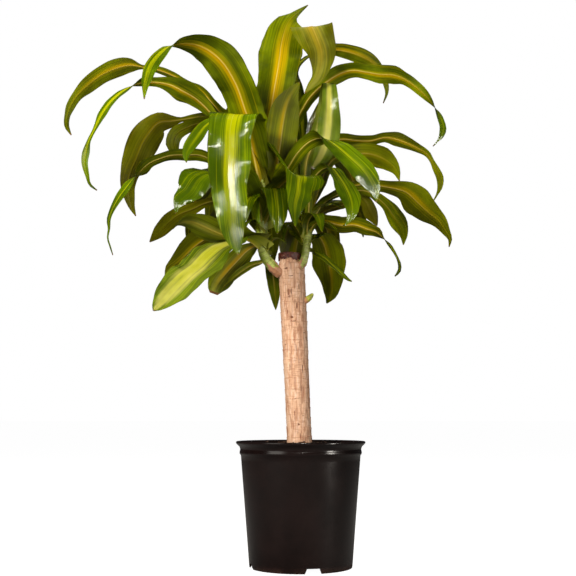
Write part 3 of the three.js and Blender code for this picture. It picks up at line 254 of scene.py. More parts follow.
RIGHT_SHOOT_AXIS = [[-10, -10, 535], [1, -13, 546], [7.5, -14, 558], [10, -13, 571], [14, 4, 601],
                    [15, 24, 645], [8, 34, 717]]
RIGHT_SHOOT_RADII = [6.5, 7, 7.2, 7.4, 10, 14, 2]
RIGHT_SHOOT_LEAVES = [
    Leaf(695, 84, tone=-0.6, band=1.0, painted_sheen=0.1, path=[
        [19, 28, 797, 15, 0], [23, 28, 822, 17, 0], [34, 28, 847, 15, 0], [48, 27, 877, 15, 0],
        [42, 26, 916, 23, 0], [36, 22, 950, 31, 0], [32, 14, 979, 46, 0], [26, 4, 997, 64, 0],
        [21, -8, 1002, 81, 0], [25, -18, 991, 78, 0], [32, -25, 971, 67, 0], [39, -30, 948, 56, 0],
        [40, -34, 927, 45, 0], [37, -37, 907, 32, 0], [31, -39, 891, 23, 0], [20, -40, 877, 15, 0],
        [8, -41, 862, 2, 0]]),
    Leaf(681, 65, tone=-0.3, band=0.8, path=[
        [2, 66, 864, 25, 0], [-3, 74, 907, 19, 0], [-10, 80, 937, 17, 0], [-2, 86, 959, 25, -10],
        [23, 94, 980, 35, -20], [51, 98, 990, 40, -30], [77, 102, 993, 29, -35], [101, 105, 989, 31, -35],
        [123, 108, 982, 33, -35], [143, 112, 972, 29, -30], [159, 115, 958, 20, -30],
        [169, 117, 940, 14, -20], [174, 118, 922, 10, -20], [174, 118, 908, 6, -10],
        [167, 118, 889, 2, -10]]),
    Leaf(673, -8, tone=0.1, band=0.9, path=[
        [-8, 18, 817, 34, -20], [7, 14, 853, 27, -40], [24, 11, 876, 28, -50], [47, 8, 896, 31, -50],
        [75, 3, 913, 35, -50], [100, -2, 918, 32, -50], [124, -7, 913, 30, -50], [150, -12, 907, 37, -50],
        [174, -18, 904, 39, -50], [195, -24, 894, 26, -50], [213, -30, 879, 22, -50],
        [231, -36, 860, 19, -45], [243, -41, 843, 16, -20], [251, -44, 827, 20, 20],
        [257, -46, 811, 17, 45], [261, -48, 794, 17, 50], [257, -50, 778, 11, 50], [251, -51, 769, 4, 50],
        [242, -51, 759, 2, 50]]),
    Leaf(645, -80, tone=0.4, painted_sheen=0.6, path=[
        [11, 8, 738, 23, 0], [28, 0, 784, 27, 0], [43, -5, 830, 27, 0], [50, -8, 868, 27, 0],
        [53, -14, 889, 25, 0], [54, -22, 883, 27, 0], [55, -27, 860, 30, 0], [55, -29, 837, 36, 0],
        [54, -29, 814, 43, 0], [52, -27, 790, 45, 0], [47, -22, 767, 42, 0], [37, -14, 746, 31, 0],
        [22, -6, 727, 6, 0]]),
    Leaf(645, 12, tone=-0.4, band=0.7, path=[
        [38, 37, 762, 30, -20], [53, 39, 788, 33, -30], [80, 41, 796, 25, -45], [107, 43, 794, 21, -50],
        [134, 46, 794, 23, -50], [164, 49, 801, 23, -50], [187, 52, 798, 29, -50], [208, 55, 791, 24, -50],
        [228, 58, 782, 18, -50], [246, 62, 772, 14, -45], [255, 65, 759, 10, -40], [263, 68, 744, 13, -50],
        [271, 71, 727, 15, -50], [271, 73, 709, 11, -50], [265, 75, 694, 5, -40], [258, 76, 682, 3, -40]]),
    Leaf(629, 0, tone=-0.5, band=0.4, path=[
        [61, 27, 752, 38, -30], [94, 22, 760, 39, -50], [125, 21, 763, 41, -60], [151, 22, 756, 46, -60],
        [170, 24, 744, 33, -60], [182, 25, 730, 17, -60], [188, 26, 711, 2, -60]]),
    Leaf(617, 4, tone=-0.5, band=0.75, path=[
        [41, 28, 665, 29, -20], [58, 28, 681, 17, -40], [83, 28, 695, 19, -40], [121, 27, 705, 21, -50],
        [151, 28, 702, 25, -50], [176, 30, 698, 32, -50], [201, 33, 691, 45, -50], [222, 37, 673, 61, -50],
        [243, 41, 654, 50, -50], [264, 44, 637, 32, -50], [277, 46, 618, 18, -50], [285, 47, 603, 9, -50],
        [283, 48, 588, 2, -50]]),
    Leaf(607, -22, tone=-0.3, band=0.35, path=[
        [39, 10, 660, 18, -20], [57, 2, 673, 11, -40], [89, -4, 685, 17, -40], [122, -8, 685, 19, -50],
        [142, -12, 672, 23, -55], [160, -17, 654, 30, -55], [173, -22, 633, 40, -55],
        [184, -26, 616, 41, -55], [189, -28, 600, 26, -55], [188, -30, 580, 3, -55]]),
    Leaf(597, 6, tone=-1.0, band=0.1, path=[
        [30, 26, 640, 29, -30], [49, 22, 654, 19, -40], [67, 20, 659, 14, -50], [88, 19, 667, 18, -55],
        [109, 16, 680, 21, -60], [123, 14, 668, 24, -60], [131, 14, 649, 28, -60], [139, 14, 634, 16, -60],
        [144, 14, 623, 2, -60]]),
    Leaf(607, -58, band=0.3, path=[
        [21, -20, 699, 16, -20], [38, -38, 718, 20, -20], [54, -52, 720, 40, -10], [68, -62, 701, 39, 0],
        [80, -70, 679, 48, 0], [88, -76, 658, 45, 0], [91, -80, 639, 29, 10], [89, -83, 624, 17, 15],
        [82, -84, 611, 5, 20], [75, -85, 605, 2, 20]]),
    Leaf(593, -10, tone=-0.3, path=[
        [29, 8, 629, 33, -20], [52, 4, 628, 32, -40], [76, 1, 622, 38, -50], [101, -2, 622, 36, -50],
        [123, -6, 614, 30, -50], [142, -8, 607, 23, -40], [156, -10, 593, 21, 0], [169, -12, 575, 10, 30],
        [178, -13, 558, 9, 30], [182, -14, 545, 12, 30], [181, -15, 534, 11, 30], [173, -15, 524, 3, 30]]),
    Leaf(579, 50, tone=-0.4, band=0.35, path=[
        [24, 34, 599, 30, 0], [32, 46, 613, 51, 0], [42, 54, 602, 66, 0], [50, 60, 582, 73, 0],
        [55, 66, 558, 77, 0], [59, 70, 533, 65, 0], [59, 72, 512, 45, 0], [57, 73, 497, 28, 0],
        [51, 74, 483, 3, 0]]),
    Leaf(571, -12, tone=-0.4, band=0.3, path=[
        [24, 12, 573, 19, 30], [42, 8, 563, 21, 30], [60, 4, 546, 20, 30], [79, 1, 528, 17, 30],
        [86, 0, 521, 14, 30], [95, 0, 516, 4, 30]]),
    Leaf(595, -45, width=28, band=0.2, path=[
        [24, 6, 623], [42, -12, 627], [58, -24, 617], [68, -30, 605]]),
    Leaf(599, -28, width=26, roll=[0, 0, 20], tone=-0.2, band=0.4, path=[
        [24, 16, 643], [38, 2, 659], [60, -6, 662], [80, -12, 650]]),
    Leaf(665, 64, width=62, tone=-0.4, band=0.5, path=[
        [28, 76, 743], [60, 130, 795], [92, 188, 787], [120, 235, 731], [138, 262, 650]]),
    Leaf(645, 92, width=60, tone=-0.5, band=0.5, path=[
        [7, 84, 717], [8, 150, 765], [8, 220, 753], [8, 272, 689], [8, 296, 605]]),
    Leaf(621, 46, width=54, tone=-0.4, band=0.5, path=[
        [40, 52, 657], [70, 82, 681], [104, 116, 689], [122, 138, 660], [127, 148, 623]]),
    Leaf(601, 70, width=48, tone=-0.6, band=0.4, path=[
        [30, 78, 639], [50, 118, 641], [64, 150, 599], [66, 172, 525]]),
    Leaf(593, 96, width=48, tone=-0.5, band=0.4, path=[
        [6, 70, 617], [0, 112, 625], [-8, 156, 593], [-14, 190, 510]]),
    Leaf(611, 190, width=44, tone=-0.3, band=0.1, path=[
        [-8, 22, 660], [-19, 8, 675], [-30, -6, 664], [-40, -14, 631]]),
    Leaf(577, 214, width=36, tone=-0.2, band=0.1, path=[
        [-6, 14, 617], [-17, 2, 628], [-27, -8, 619], [-32, -12, 592]]),
    Leaf(571, 120, width=50, tone=-0.6, band=0.3, path=[
        [-8, 54, 626], [-19, 76, 637], [-27, 92, 616], [-31, 100, 567]]),
    Leaf(589, -60, width=34, band=0.2, path=[
        [14, -2, 627], [25, -26, 638], [33, -42, 629], [39, -50, 600]]),
]

# ---------------------------------------------------------------- numbers

def smoothstep(low, high, x):
    t = np.clip((x - low) / (high - low), 0, 1)
    return t * t * (3 - 2 * t)


def flowing(pairs, x):
    """Value at x on a smooth line through [position, value] pairs, which never overshoots them."""
    xs, ys = np.array(pairs, float).T
    steps = np.diff(ys) / np.diff(xs)
    slopes = np.zeros_like(ys)
    slopes[1:-1] = np.where(steps[:-1] * steps[1:] > 0,
                            2 * steps[:-1] * steps[1:] / (steps[:-1] + steps[1:] + 1e-12), 0)
    slopes[0], slopes[-1] = steps[0], steps[-1]
    x = np.clip(x, xs[0], xs[-1])
    k = np.clip(np.searchsorted(xs, x, "right") - 1, 0, len(xs) - 2)
    span = xs[k + 1] - xs[k]
    t = (x - xs[k]) / span
    return ((2 * t**3 - 3 * t**2 + 1) * ys[k] + (t**3 - 2 * t**2 + t) * span * slopes[k]
            + (3 * t**2 - 2 * t**3) * ys[k + 1] + (t**3 - t**2) * span * slopes[k + 1])


def even(values, s):
    """Value at s (0 to 1) on straight lines through evenly spaced values."""
    return np.interp(s, np.linspace(0, 1, len(values)), values)


def unit(v):
    return v / np.linalg.norm(v, axis=-1, keepdims=True)


def full_turn(count):
    """Evenly spaced angles once round, from 0."""
    return np.linspace(0, 2 * math.pi, count, endpoint=False)


def circle(angle):
    """The level unit circle's point at each angle."""
    return np.stack([np.cos(angle), np.sin(angle), np.zeros_like(angle)], axis=-1)


def triples(first, second, third):
    """Three arrays that spread to one shape, as rows of three numbers."""
    return np.stack(np.broadcast_arrays(first, second, third), -1).reshape(-1, 3)


class Line:
    """A centripetal Catmull-Rom curve through points, read by share of its length."""

    PER_SPAN = 60                       # places that are worked out between two points

    def __init__(self, points):
        p = np.array(points, float)
        p = np.vstack([2 * p[0] - p[1], p, 2 * p[-1] - p[-2]])
        gaps = np.sqrt(np.linalg.norm(np.diff(p, axis=0), axis=1))
        t = np.linspace(0, 1, self.PER_SPAN, endpoint=False)[:, None]
        dense = []
        for k in range(1, len(p) - 2):
            d0, d1, d2 = gaps[k - 1], gaps[k], gaps[k + 1]
            a = ((p[k] - p[k - 1]) / d0 - (p[k + 1] - p[k - 1]) / (d0 + d1) + (p[k + 1] - p[k]) / d1) * d1
            b = ((p[k + 1] - p[k]) / d1 - (p[k + 2] - p[k]) / (d1 + d2) + (p[k + 2] - p[k + 1]) / d2) * d1
            jump = p[k + 1] - p[k]
            dense.append(p[k] + a * t + (3 * jump - 2 * a - b) * t**2 + (a + b - 2 * jump) * t**3)
        dense.append(p[-2][None])
        self.points = np.vstack(dense)
        run = np.concatenate([[0], np.cumsum(np.linalg.norm(np.diff(self.points, axis=0), axis=1))])
        self.length = run[-1]
        self.share = run / run[-1]

    def at(self, s):
        return np.stack([np.interp(s, self.share, self.points[:, k]) for k in range(3)], axis=-1)

    def along(self, s, step=0.008):
        s = np.asarray(s, float)
        return unit(self.at(np.minimum(s + step, 1)) - self.at(np.maximum(s - step, 0)))

    def share_at_height(self, z):
        """The share of the length where a rising curve reaches height z."""
        return float(np.interp(z, self.points[:, 2], self.share))


def wobble(points, scale, seed, detail):
    """Smooth noise from -1 to 1 at each point, as an array. `scale` is in waves per metre."""
    shift = Vector((seed * 7.31, seed * 3.17, seed * 5.71))
    return np.array([noise.fractal(Vector(p) * scale + shift, 1.0, 2.0, detail) for p in points])


# ---------------------------------------------------------------- meshes

def make_piece(name, vertices, faces, materials, node, face_materials=None, attributes=None):
    """A smooth-shaded mesh that rides on the plant's one body and stands for a CAD node."""
    mesh = bpy.data.meshes.new(name)
    mesh.from_pydata(np.asarray(vertices).tolist(), [], [list(map(int, f)) for f in faces])
    mesh.validate()
    for material in materials:
        mesh.materials.append(material)
    if face_materials is not None:
        mesh.polygons.foreach_set("material_index", np.asarray(face_materials, np.int32))
    mesh.polygons.foreach_set("use_smooth", np.ones(len(mesh.polygons), bool))
    for key, values in (attributes or {}).items():
        layer = mesh.attributes.new(key, "FLOAT_VECTOR", "POINT")
        layer.data.foreach_set("vector", np.asarray(values, np.float32).ravel())
    mesh.update()
    piece = bpy.data.objects.new(name, mesh)
    bpy.context.scene.collection.objects.link(piece)
    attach(piece, BODY)
    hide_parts(node)
    return piece


def loft(rings):
    """Vertices and faces of a closed skin over rings of equal count, with a fan at each end."""
    rings = np.asarray(rings, float)
    rows, count = rings.shape[:2]
    vertices = np.vstack([rings.reshape(-1, 3), rings[0].mean(0)[None], rings[-1].mean(0)[None]])
    k = np.arange(count)
    step = (k + 1) % count
    faces = []
    for row in range(rows - 1):
        a = row * count
        faces += np.stack([a + k, a + step, a + count + step, a + count + k], axis=1).tolist()
    low, high, last = rows * count, rows * count + 1, (rows - 1) * count
    faces += np.stack([np.full(count, low), step, k], axis=1).tolist()
    faces += np.stack([np.full(count, high), last + k, last + step], axis=1).tolist()
    return vertices, faces


def with_ends(values):
    """Values of the rings' points, followed by those of the two points that close a loft."""
    return np.vstack([values, values[:1], values[-1:]])


def level_rings(centres, radii):
    """Rings that lie level: one row of `radii` (radius at each of evenly spaced angles) per centre."""
    return np.asarray(centres)[:, None] + radii[:, :, None] * circle(full_turn(radii.shape[1]))


def carried_frames(line, s):
    """Two unit directions square to a curve at each share s, carried along it without twist."""
    along = line.along(s)
    first = np.zeros_like(along)
    first[0] = unit(np.cross(along[0], [0.3, 1, 0.1]))
    for k in range(1, len(s)):
        carried = first[k - 1] - along[k] * (first[k - 1] @ along[k])
        first[k] = unit(carried)
    return first, np.cross(along, first)


def bar_rings(line, s, radii):
    """Rings square to a curve: one row of `radii` per share s."""
    first, second = carried_frames(line, s)
    angle = full_turn(radii.shape[1])[None, :, None]
    return line.at(s)[:, None] + radii[:, :, None] * (np.cos(angle) * first[:, None]
                                                      + np.sin(angle) * second[:, None])


# ---------------------------------------------------------------- materials

def tint(red, green, blue):
    """An sRGB colour, 0 to 255, as the linear colour that nodes take."""
    parts = [c / 255 for c in (red, green, blue)]
    return [c / 12.92 if c <= 0.04045 else ((c + 0.055) / 1.055) ** 2.4 for c in parts] + [1]


class Finish:
    """One material's nodes."""

    def __init__(self, name):
        self.material = bpy.data.materials.new(name)
        self.material.use_nodes = True
        self.tree = self.material.node_tree
        self.shader = self.tree.nodes["Principled BSDF"]

    def add(self, kind, inputs=None, **settings):
        node = self.tree.nodes.new("ShaderNode" + kind)
        for key, value in settings.items():
            setattr(node, key, value)
        for key, value in (inputs or {}).items():
            self.feed(node.inputs[key], value)
        return node

    def feed(self, socket, value):
        if isinstance(value, bpy.types.NodeSocket):
            self.tree.links.new(value, socket)
        else:
            socket.default_value = value

    def set(self, **values):
        """Sets the shader's own sockets, their spaces written as underscores."""
        for key, value in values.items():
            self.feed(self.shader.inputs[key.replace("_", " ")], value)

    def calc(self, operation, *values, clamp=False):
        inputs = dict(enumerate(values))
        return self.add("Math", inputs, operation=operation, use_clamp=clamp).outputs[0]

    def times(self, first, second):
        return self.calc("MULTIPLY", first, second)

    def plus(self, first, second):
        return self.calc("ADD", first, second)

    def ease(self, value, low, high, start=0.0, end=1.0):
        """Runs smoothly from start to end while value goes from low to high."""
        inputs = {"Value": value, "From Min": low, "From Max": high, "To Min": start, "To Max": end}
        return self.add("MapRange", inputs, interpolation_type="SMOOTHSTEP").outputs["Result"]

    def blend(self, share, first, second):
        """Goes from the first colour to the second as the share goes from 0 to 1."""
        node = self.add("Mix", data_type="RGBA")
        self.feed(node.inputs[0], share)
        self.feed(node.inputs[6], first)
        self.feed(node.inputs[7], second)
        return node.outputs[2]

    def parts(self, name):
        """The three numbers of a mesh's vector attribute."""
        vector = self.add("Attribute", attribute_name=name).outputs["Vector"]
        return self.add("SeparateXYZ", {0: vector}).outputs

    def grain(self, vector, scale=1.0, detail=2.0, rough=0.5, bend=0.0):
        """Noise of this many waves per metre, or with a scale for each axis."""
        if isinstance(scale, tuple):
            vector = self.add("VectorMath", {0: vector, 1: scale}, operation="MULTIPLY").outputs[0]
            scale = 1.0
        inputs = {"Vector": vector, "Scale": scale, "Detail": detail, "Roughness": rough, "Distortion": bend}
        return self.add("TexNoise", inputs).outputs["Fac"]

    def cells(self, vector, scale):
        return self.add("TexVoronoi", {"Vector": vector, "Scale": scale}).outputs["Distance"]

    def relief(self, height, depth, strength=1.0, over=None):
        """A bump of this depth in metres, laid over another bump's normal."""
        node = self.add("Bump", {"Height": height, "Distance": depth, "Strength": strength})
        if over is not None:
            self.feed(node.inputs["Normal"], over)
        return node.outputs["Normal"]

    def own_place(self):
        return self.add("TexCoord").outputs["Object"]

    def done(self, colour, roughness, normal, shine=0.5):
        """Feeds the shader and gives the material."""
        self.set(Base_Color=colour, Roughness=roughness, Normal=normal, Specular_IOR_Level=shine)
        return self.material


# Leaf colours, upper side and underside, from the margin to the midrib. The underside's warm olive and gold
# are partly painted light: they stand for light shining through the blade.
UPPER_COLOURS = {"dark": tint(50, 70, 0), "green": tint(92, 116, 0), "band": tint(172, 176, 0),
                 "inner": tint(164, 166, 0), "streak": tint(84, 110, 0), "midrib": tint(186, 188, 50)}
UNDER_COLOURS = {"dark": tint(58, 70, 0), "green": tint(106, 120, 0), "band": tint(160, 146, 0),
                 "inner": tint(184, 146, 0), "streak": tint(112, 108, 0), "midrib": tint(214, 190, 96)}
LEAF_ROOT = tint(158, 160, 66)
LEAF_DRY = tint(112, 80, 46)
# Dull olive of old leaves, also used as painted shade on leaves deep in the crown.
LEAF_OLD_AND_SHADE = tint(84, 72, 0)
LEAF_YOUNG = tint(112, 142, 0)
# Painted sheen: the pale colour that stands for the lights' highlights on glossy leaves.
LEAF_PAINTED_SHEEN = tint(222, 212, 112)
VEIN_PITCH = 1.5 * MM


def leaf_finish(name, colours, gloss, shine, midrib_width, fade):
    """A striped blade: green margins, then a ragged yellow band that turns golden towards the midrib,
    with fine veins that run its length. `blade` holds across (-1 to 1), along (0 to 1) and tone, whose
    dull end is also painted shade; `span` the distances across and along in metres and the leaf's number;
    `life` the dry tip's share, how strongly the band shows and how far a painted sheen pales it. The
    band's edge fades over `fade` of the half width."""
    f = Finish(name)
    across, along, tone = f.parts("blade")
    reach, run, number = f.parts("span")
    dry, showing, painted_sheen = f.parts("life")
    offset = f.times(number, 3.7)

    def streaks(across_scale, along_scale, detail=2.0):
        place = f.add("CombineXYZ", {0: f.times(reach, across_scale),
                                     1: f.times(run, along_scale), 2: offset}).outputs[0]
        return f.grain(place, 1.0, detail)

    broad, narrow, fine = streaks(130, 2.2), streaks(380, 4), streaks(1100, 14)
    patches = streaks(22, 14, 3.0)
    # The band leans a little to one side of the midrib and frays into the margins.
    lean = f.times(f.calc("SINE", offset), 0.09)
    edge = f.calc("ABSOLUTE", f.plus(across, lean))
    edge = f.plus(edge, f.times(f.calc("SUBTRACT", broad, 0.5), 0.5))
    edge = f.plus(edge, f.times(f.calc("SUBTRACT", narrow, 0.5), 0.25))
    half_band = f.plus(f.times(showing, 0.22), 0.12)
    edge = f.calc("SUBTRACT", edge, half_band)
    taper = f.ease(along, 0.62, 1.0, 1, 0.1)
    band = f.times(f.ease(edge, -fade, fade * 0.5, 1, 0), taper)
    band = f.times(band, f.ease(showing, 0, 0.7, 0.25, 1))
    core = f.times(f.ease(edge, -0.30, -0.06, 1, 0), taper)
    margin = f.blend(f.ease(patches, 0.36, 0.64), colours["dark"], colours["green"])
    margin = f.blend(f.ease(fine, 0.5, 0.75, 0, 0.35), margin, colours["green"])
    margin = f.blend(f.ease(narrow, 0.5, 0.62, 0, 0.55), margin, colours["dark"])
    margin = f.blend(f.ease(narrow, 0.44, 0.34, 0, 0.3), margin, colours["band"])
    inner = f.blend(core, colours["band"], colours["inner"])
    inner = f.blend(f.ease(narrow, 0.56, 0.66, 0, 0.7), inner, colours["streak"])
    colour = f.blend(band, margin, inner)
    rib = f.ease(f.calc("ABSOLUTE", reach), midrib_width * 0.3, midrib_width, 1, 0)
    rib = f.times(rib, f.ease(along, 0.4, 0.9, 0.75, 0))
    rib = f.times(rib, f.ease(showing, 0, 0.6, 0.5, 1))
    colour = f.blend(rib, colour, colours["midrib"])
    veins = f.calc("SINE", f.times(reach, 2 * math.pi / VEIN_PITCH))
    colour = f.blend(f.times(f.ease(veins, 0.2, 1.0), 0.14), colour, colours["streak"])
    # Old leaves go dull and olive, and young ones are bright. The dull olive is also painted shade, darkening
    # leaves that sit deep in the crown.
    colour = f.blend(f.times(f.ease(tone, 0, -1), 0.6), colour, LEAF_OLD_AND_SHADE)
    colour = f.blend(f.times(f.ease(tone, 0, 1), 0.45), colour, LEAF_YOUNG)
    # Painted sheen: a pale veil in patches over the blade's middle stands for the lights' highlights on
    # glossy leaves.
    pale = f.times(painted_sheen, f.ease(patches, 0.34, 0.62, 0.25, 1))
    pale = f.times(pale, f.ease(along, 0.12, 0.35))
    colour = f.blend(f.times(pale, f.ease(edge, -0.05, 0.36, 1, 0.1)), colour, LEAF_PAINTED_SHEEN)
    colour = f.blend(f.ease(along, 0.0, 0.16, 0.75, 0), colour, LEAF_ROOT)
    colour = f.blend(f.ease(f.calc("ABSOLUTE", across), 0.965, 0.995, 0, 0.35), colour, LEAF_OLD_AND_SHADE)
    # The tip dries back from its point, further along some veins than others.
    jagged = f.times(f.calc("SUBTRACT", narrow, 0.5), 0.02)
    to_tip = f.plus(f.calc("SUBTRACT", 1.0, along), jagged)
    dead = f.ease(f.calc("SUBTRACT", to_tip, dry), -0.006, 0.005, 1, 0)
    colour = f.blend(dead, colour, LEAF_DRY)
    roughness = f.plus(f.times(patches, 0.12), gloss - 0.05)
    roughness = f.calc("ADD", roughness, f.times(dead, 0.3), clamp=True)
    normal = f.relief(veins, 0.06 * MM, 0.7)
    normal = f.relief(fine, 0.2 * MM, 0.5, over=normal)
    normal = f.relief(patches, 2.0 * MM, 0.35, over=normal)
    return f.done(colour, roughness, normal, shine)


def stem_finish():
    """Green young stem, paler at the rings that leaf bases leave. `stem` holds the share of the way
    from one ring to the next, and how far the bark has crept up it."""
    f = Finish("young_stem")
    ring, bark, _ = f.parts("stem")
    place = f.own_place()
    patches = f.grain(place, 90, 4)
    fibres = f.grain(place, (700, 700, 60), 3)
    colour = f.blend(f.ease(patches, 0.35, 0.7), tint(122, 138, 36), tint(178, 188, 96))
    colour = f.blend(f.ease(ring, 0.75, 0.97, 0, 0.65), colour, tint(92, 84, 36))
    colour = f.blend(f.ease(ring, 0.0, 0.14, 0.5, 0), colour, tint(196, 192, 128))
    colour = f.blend(f.ease(f.plus(bark, f.times(patches, 0.5)), 0.55, 0.95), colour,
                     tint(168, 118, 84))
    normal = f.relief(fibres, 0.25 * MM, 0.6)
    normal = f.relief(patches, 0.8 * MM, 0.5, over=normal)
    return f.done(colour, f.ease(fibres, 0.3, 0.7, 0.42, 0.62), normal)


def bark_finish():
    """Papery tan bark. `bark` holds how near a leaf scar's lip is, and the depth of the fissure and of
    the break that the mesh has there."""
    f = Finish("cane_bark")
    scar, split, crack = f.parts("bark")
    place = f.own_place()
    fibres = f.grain(place, (520, 520, 30), 4, 0.65)
    papery = f.grain(place, (230, 230, 48), 4, 0.6, 0.3)
    blotches = f.grain(place, (38, 38, 22), 4, 0.6)
    bands = f.grain(place, (60, 60, 620), 3, 0.6)
    colour = f.blend(f.ease(blotches, 0.32, 0.68), tint(216, 170, 138), tint(234, 194, 162))
    colour = f.blend(f.ease(papery, 0.52, 0.64, 0, 0.6), colour, tint(242, 214, 192))
    colour = f.blend(f.ease(fibres, 0.5, 0.34, 0, 0.6), colour, tint(172, 112, 80))
    colour = f.blend(f.ease(papery, 0.44, 0.32, 0, 0.6), colour, tint(166, 104, 72))
    colour = f.blend(f.ease(bands, 0.54, 0.66, 0, 0.55), colour, tint(170, 112, 82))
    colour = f.blend(f.times(split, 0.5), colour, tint(150, 90, 60))
    colour = f.blend(f.times(scar, 0.8), colour, tint(152, 92, 62))
    colour = f.blend(f.ease(crack, 0.15, 0.8, 0, 0.9), colour, tint(112, 62, 38))
    normal = f.relief(fibres, 0.6 * MM, 0.9)
    normal = f.relief(papery, 0.8 * MM, 0.7, over=normal)
    normal = f.relief(bands, 0.5 * MM, 0.6, over=normal)
    return f.done(colour, f.ease(papery, 0.3, 0.7, 0.92, 0.7), normal, 0.25)


def wax_finish():
    """Lumpy red-brown wax with pale chips."""
    f = Finish("seal_wax_coat")
    place = f.own_place()
    lumps = f.grain(place, 260, 4, 0.6)
    chips = f.grain(place, 120, 3, 0.6)
    colour = f.blend(f.ease(lumps, 0.35, 0.65), tint(46, 14, 10), tint(96, 42, 30))
    colour = f.blend(f.ease(chips, 0.6, 0.7, 0, 0.8), colour, tint(150, 112, 96))
    normal = f.relief(lumps, 1.2 * MM, 0.8)
    return f.done(colour, f.ease(chips, 0.3, 0.7, 0.38, 0.7), normal)


def bud_finish():
    """Green at the point and corky brown at the root. `bud` holds the share along it, and that of the
    way from one scale's root to its edge."""
    f = Finish("bud_skin")
    run, scale, _ = f.parts("bud")
    place = f.own_place()
    patches = f.grain(place, 240, 3)
    colour = f.blend(f.ease(patches, 0.3, 0.7), tint(128, 140, 30), tint(190, 190, 74))
    colour = f.blend(f.ease(scale, 0.85, 1.0, 0, 0.6), colour, tint(96, 84, 28))
    colour = f.blend(f.ease(f.plus(run, f.times(patches, 0.25)), 0.4, 0.66, 1, 0), colour,
                     tint(196, 138, 96))
    normal = f.relief(patches, 0.5 * MM, 0.6)
    return f.done(colour, f.ease(patches, 0.3, 0.7, 0.45, 0.7), normal)


def pot_finish():
    """Thin black nursery plastic: satin, faintly drawn up and down, with scuffs and a dusty foot."""
    f = Finish("pot_shell")
    place = f.own_place()
    height = f.add("SeparateXYZ", {0: place}).outputs[2]
    drawn = f.grain(place, (130, 130, 5), 3, 0.6)
    clouds = f.grain(place, 16, 4, 0.6)
    grit = f.grain(place, 1300, 2, 0.5)
    scuffs = f.grain(place, (60, 60, 300), 5, 0.7)
    colour = f.blend(f.ease(clouds, 0.3, 0.7), tint(14, 5, 4), tint(24, 12, 10))
    colour = f.blend(f.ease(scuffs, 0.68, 0.8, 0, 0.3), colour, tint(70, 54, 48))
    dust = f.times(f.ease(height, 0.0, 0.012, 1, 0), f.ease(clouds, 0.35, 0.6, 0.1, 0.6))
    colour = f.blend(dust, colour, tint(74, 50, 42))
    roughness = f.plus(f.ease(clouds, 0.3, 0.7, 0.2, 0.27), f.times(dust, 0.3))
    normal = f.relief(grit, 0.03 * MM, 0.4)
    normal = f.relief(drawn, 0.2 * MM, 0.3, over=normal)
    return f.done(colour, roughness, normal, 0.38)


def soil_finish(name, dark, pale):
    """Crumbly matt soil, or one of the bits in it, from a dark to a pale colour with brown specks."""
    f = Finish(name)
    place = f.own_place()
    crumbs = f.grain(place, 170, 5, 0.65)
    specks = f.cells(place, 240)
    colour = f.blend(f.ease(crumbs, 0.35, 0.68), dark, pale)
    colour = f.blend(f.ease(specks, 0.16, 0.08, 0, 0.5), colour, tint(120, 92, 72))
    normal = f.relief(crumbs, 2.5 * MM, 0.9)
    return f.done(colour, f.ease(crumbs, 0.3, 0.7, 0.97, 0.82), normal, 0.2)


# ---------------------------------------------------------------- leaves

# Where the points of a blade lie across it: close at the midrib and at the margins.
HALF_COLUMNS = [0.03, 0.09, 0.2, 0.34, 0.5, 0.66, 0.82, 0.94, 0.985, 1]
COLUMNS = np.array([-c for c in reversed(HALF_COLUMNS)] + [0] + HALF_COLUMNS)
STATION_STEP = 7 * MM                   # between the rows of points along a blade
STATIONS_LEAST = 18
STATIONS_MOST = 84
BLADE_THICKNESS = 0.7 * MM
EDGE_THICKNESS = 0.25 * MM
MIDRIB_DEPTH = 1.1 * MM                 # how far the midrib stands out of the underside at the root
MIDRIB_WIDTH = 2.4 * MM


def blade_shape(leaf, line, s):
    """Half width in metres and twist in radians of a blade at each share s of its length."""
    if len(leaf.path[0]) > 3:
        shares = line.share[:: Line.PER_SPAN]
        widths, rolls = np.array([leaf.path[0], *leaf.path])[:, 3:].T
        return flowing(np.c_[shares, widths], s) * MM / 2, np.radians(flowing(np.c_[shares, rolls], s))
    warped = np.where(s < leaf.belly, 0.5 * s / leaf.belly, 0.5 + 0.5 * (s - leaf.belly) / (1 - leaf.belly))
    return leaf.width * MM / 2 * flowing(BLADE_OUTLINE, warped), np.radians(even(leaf.roll, s))


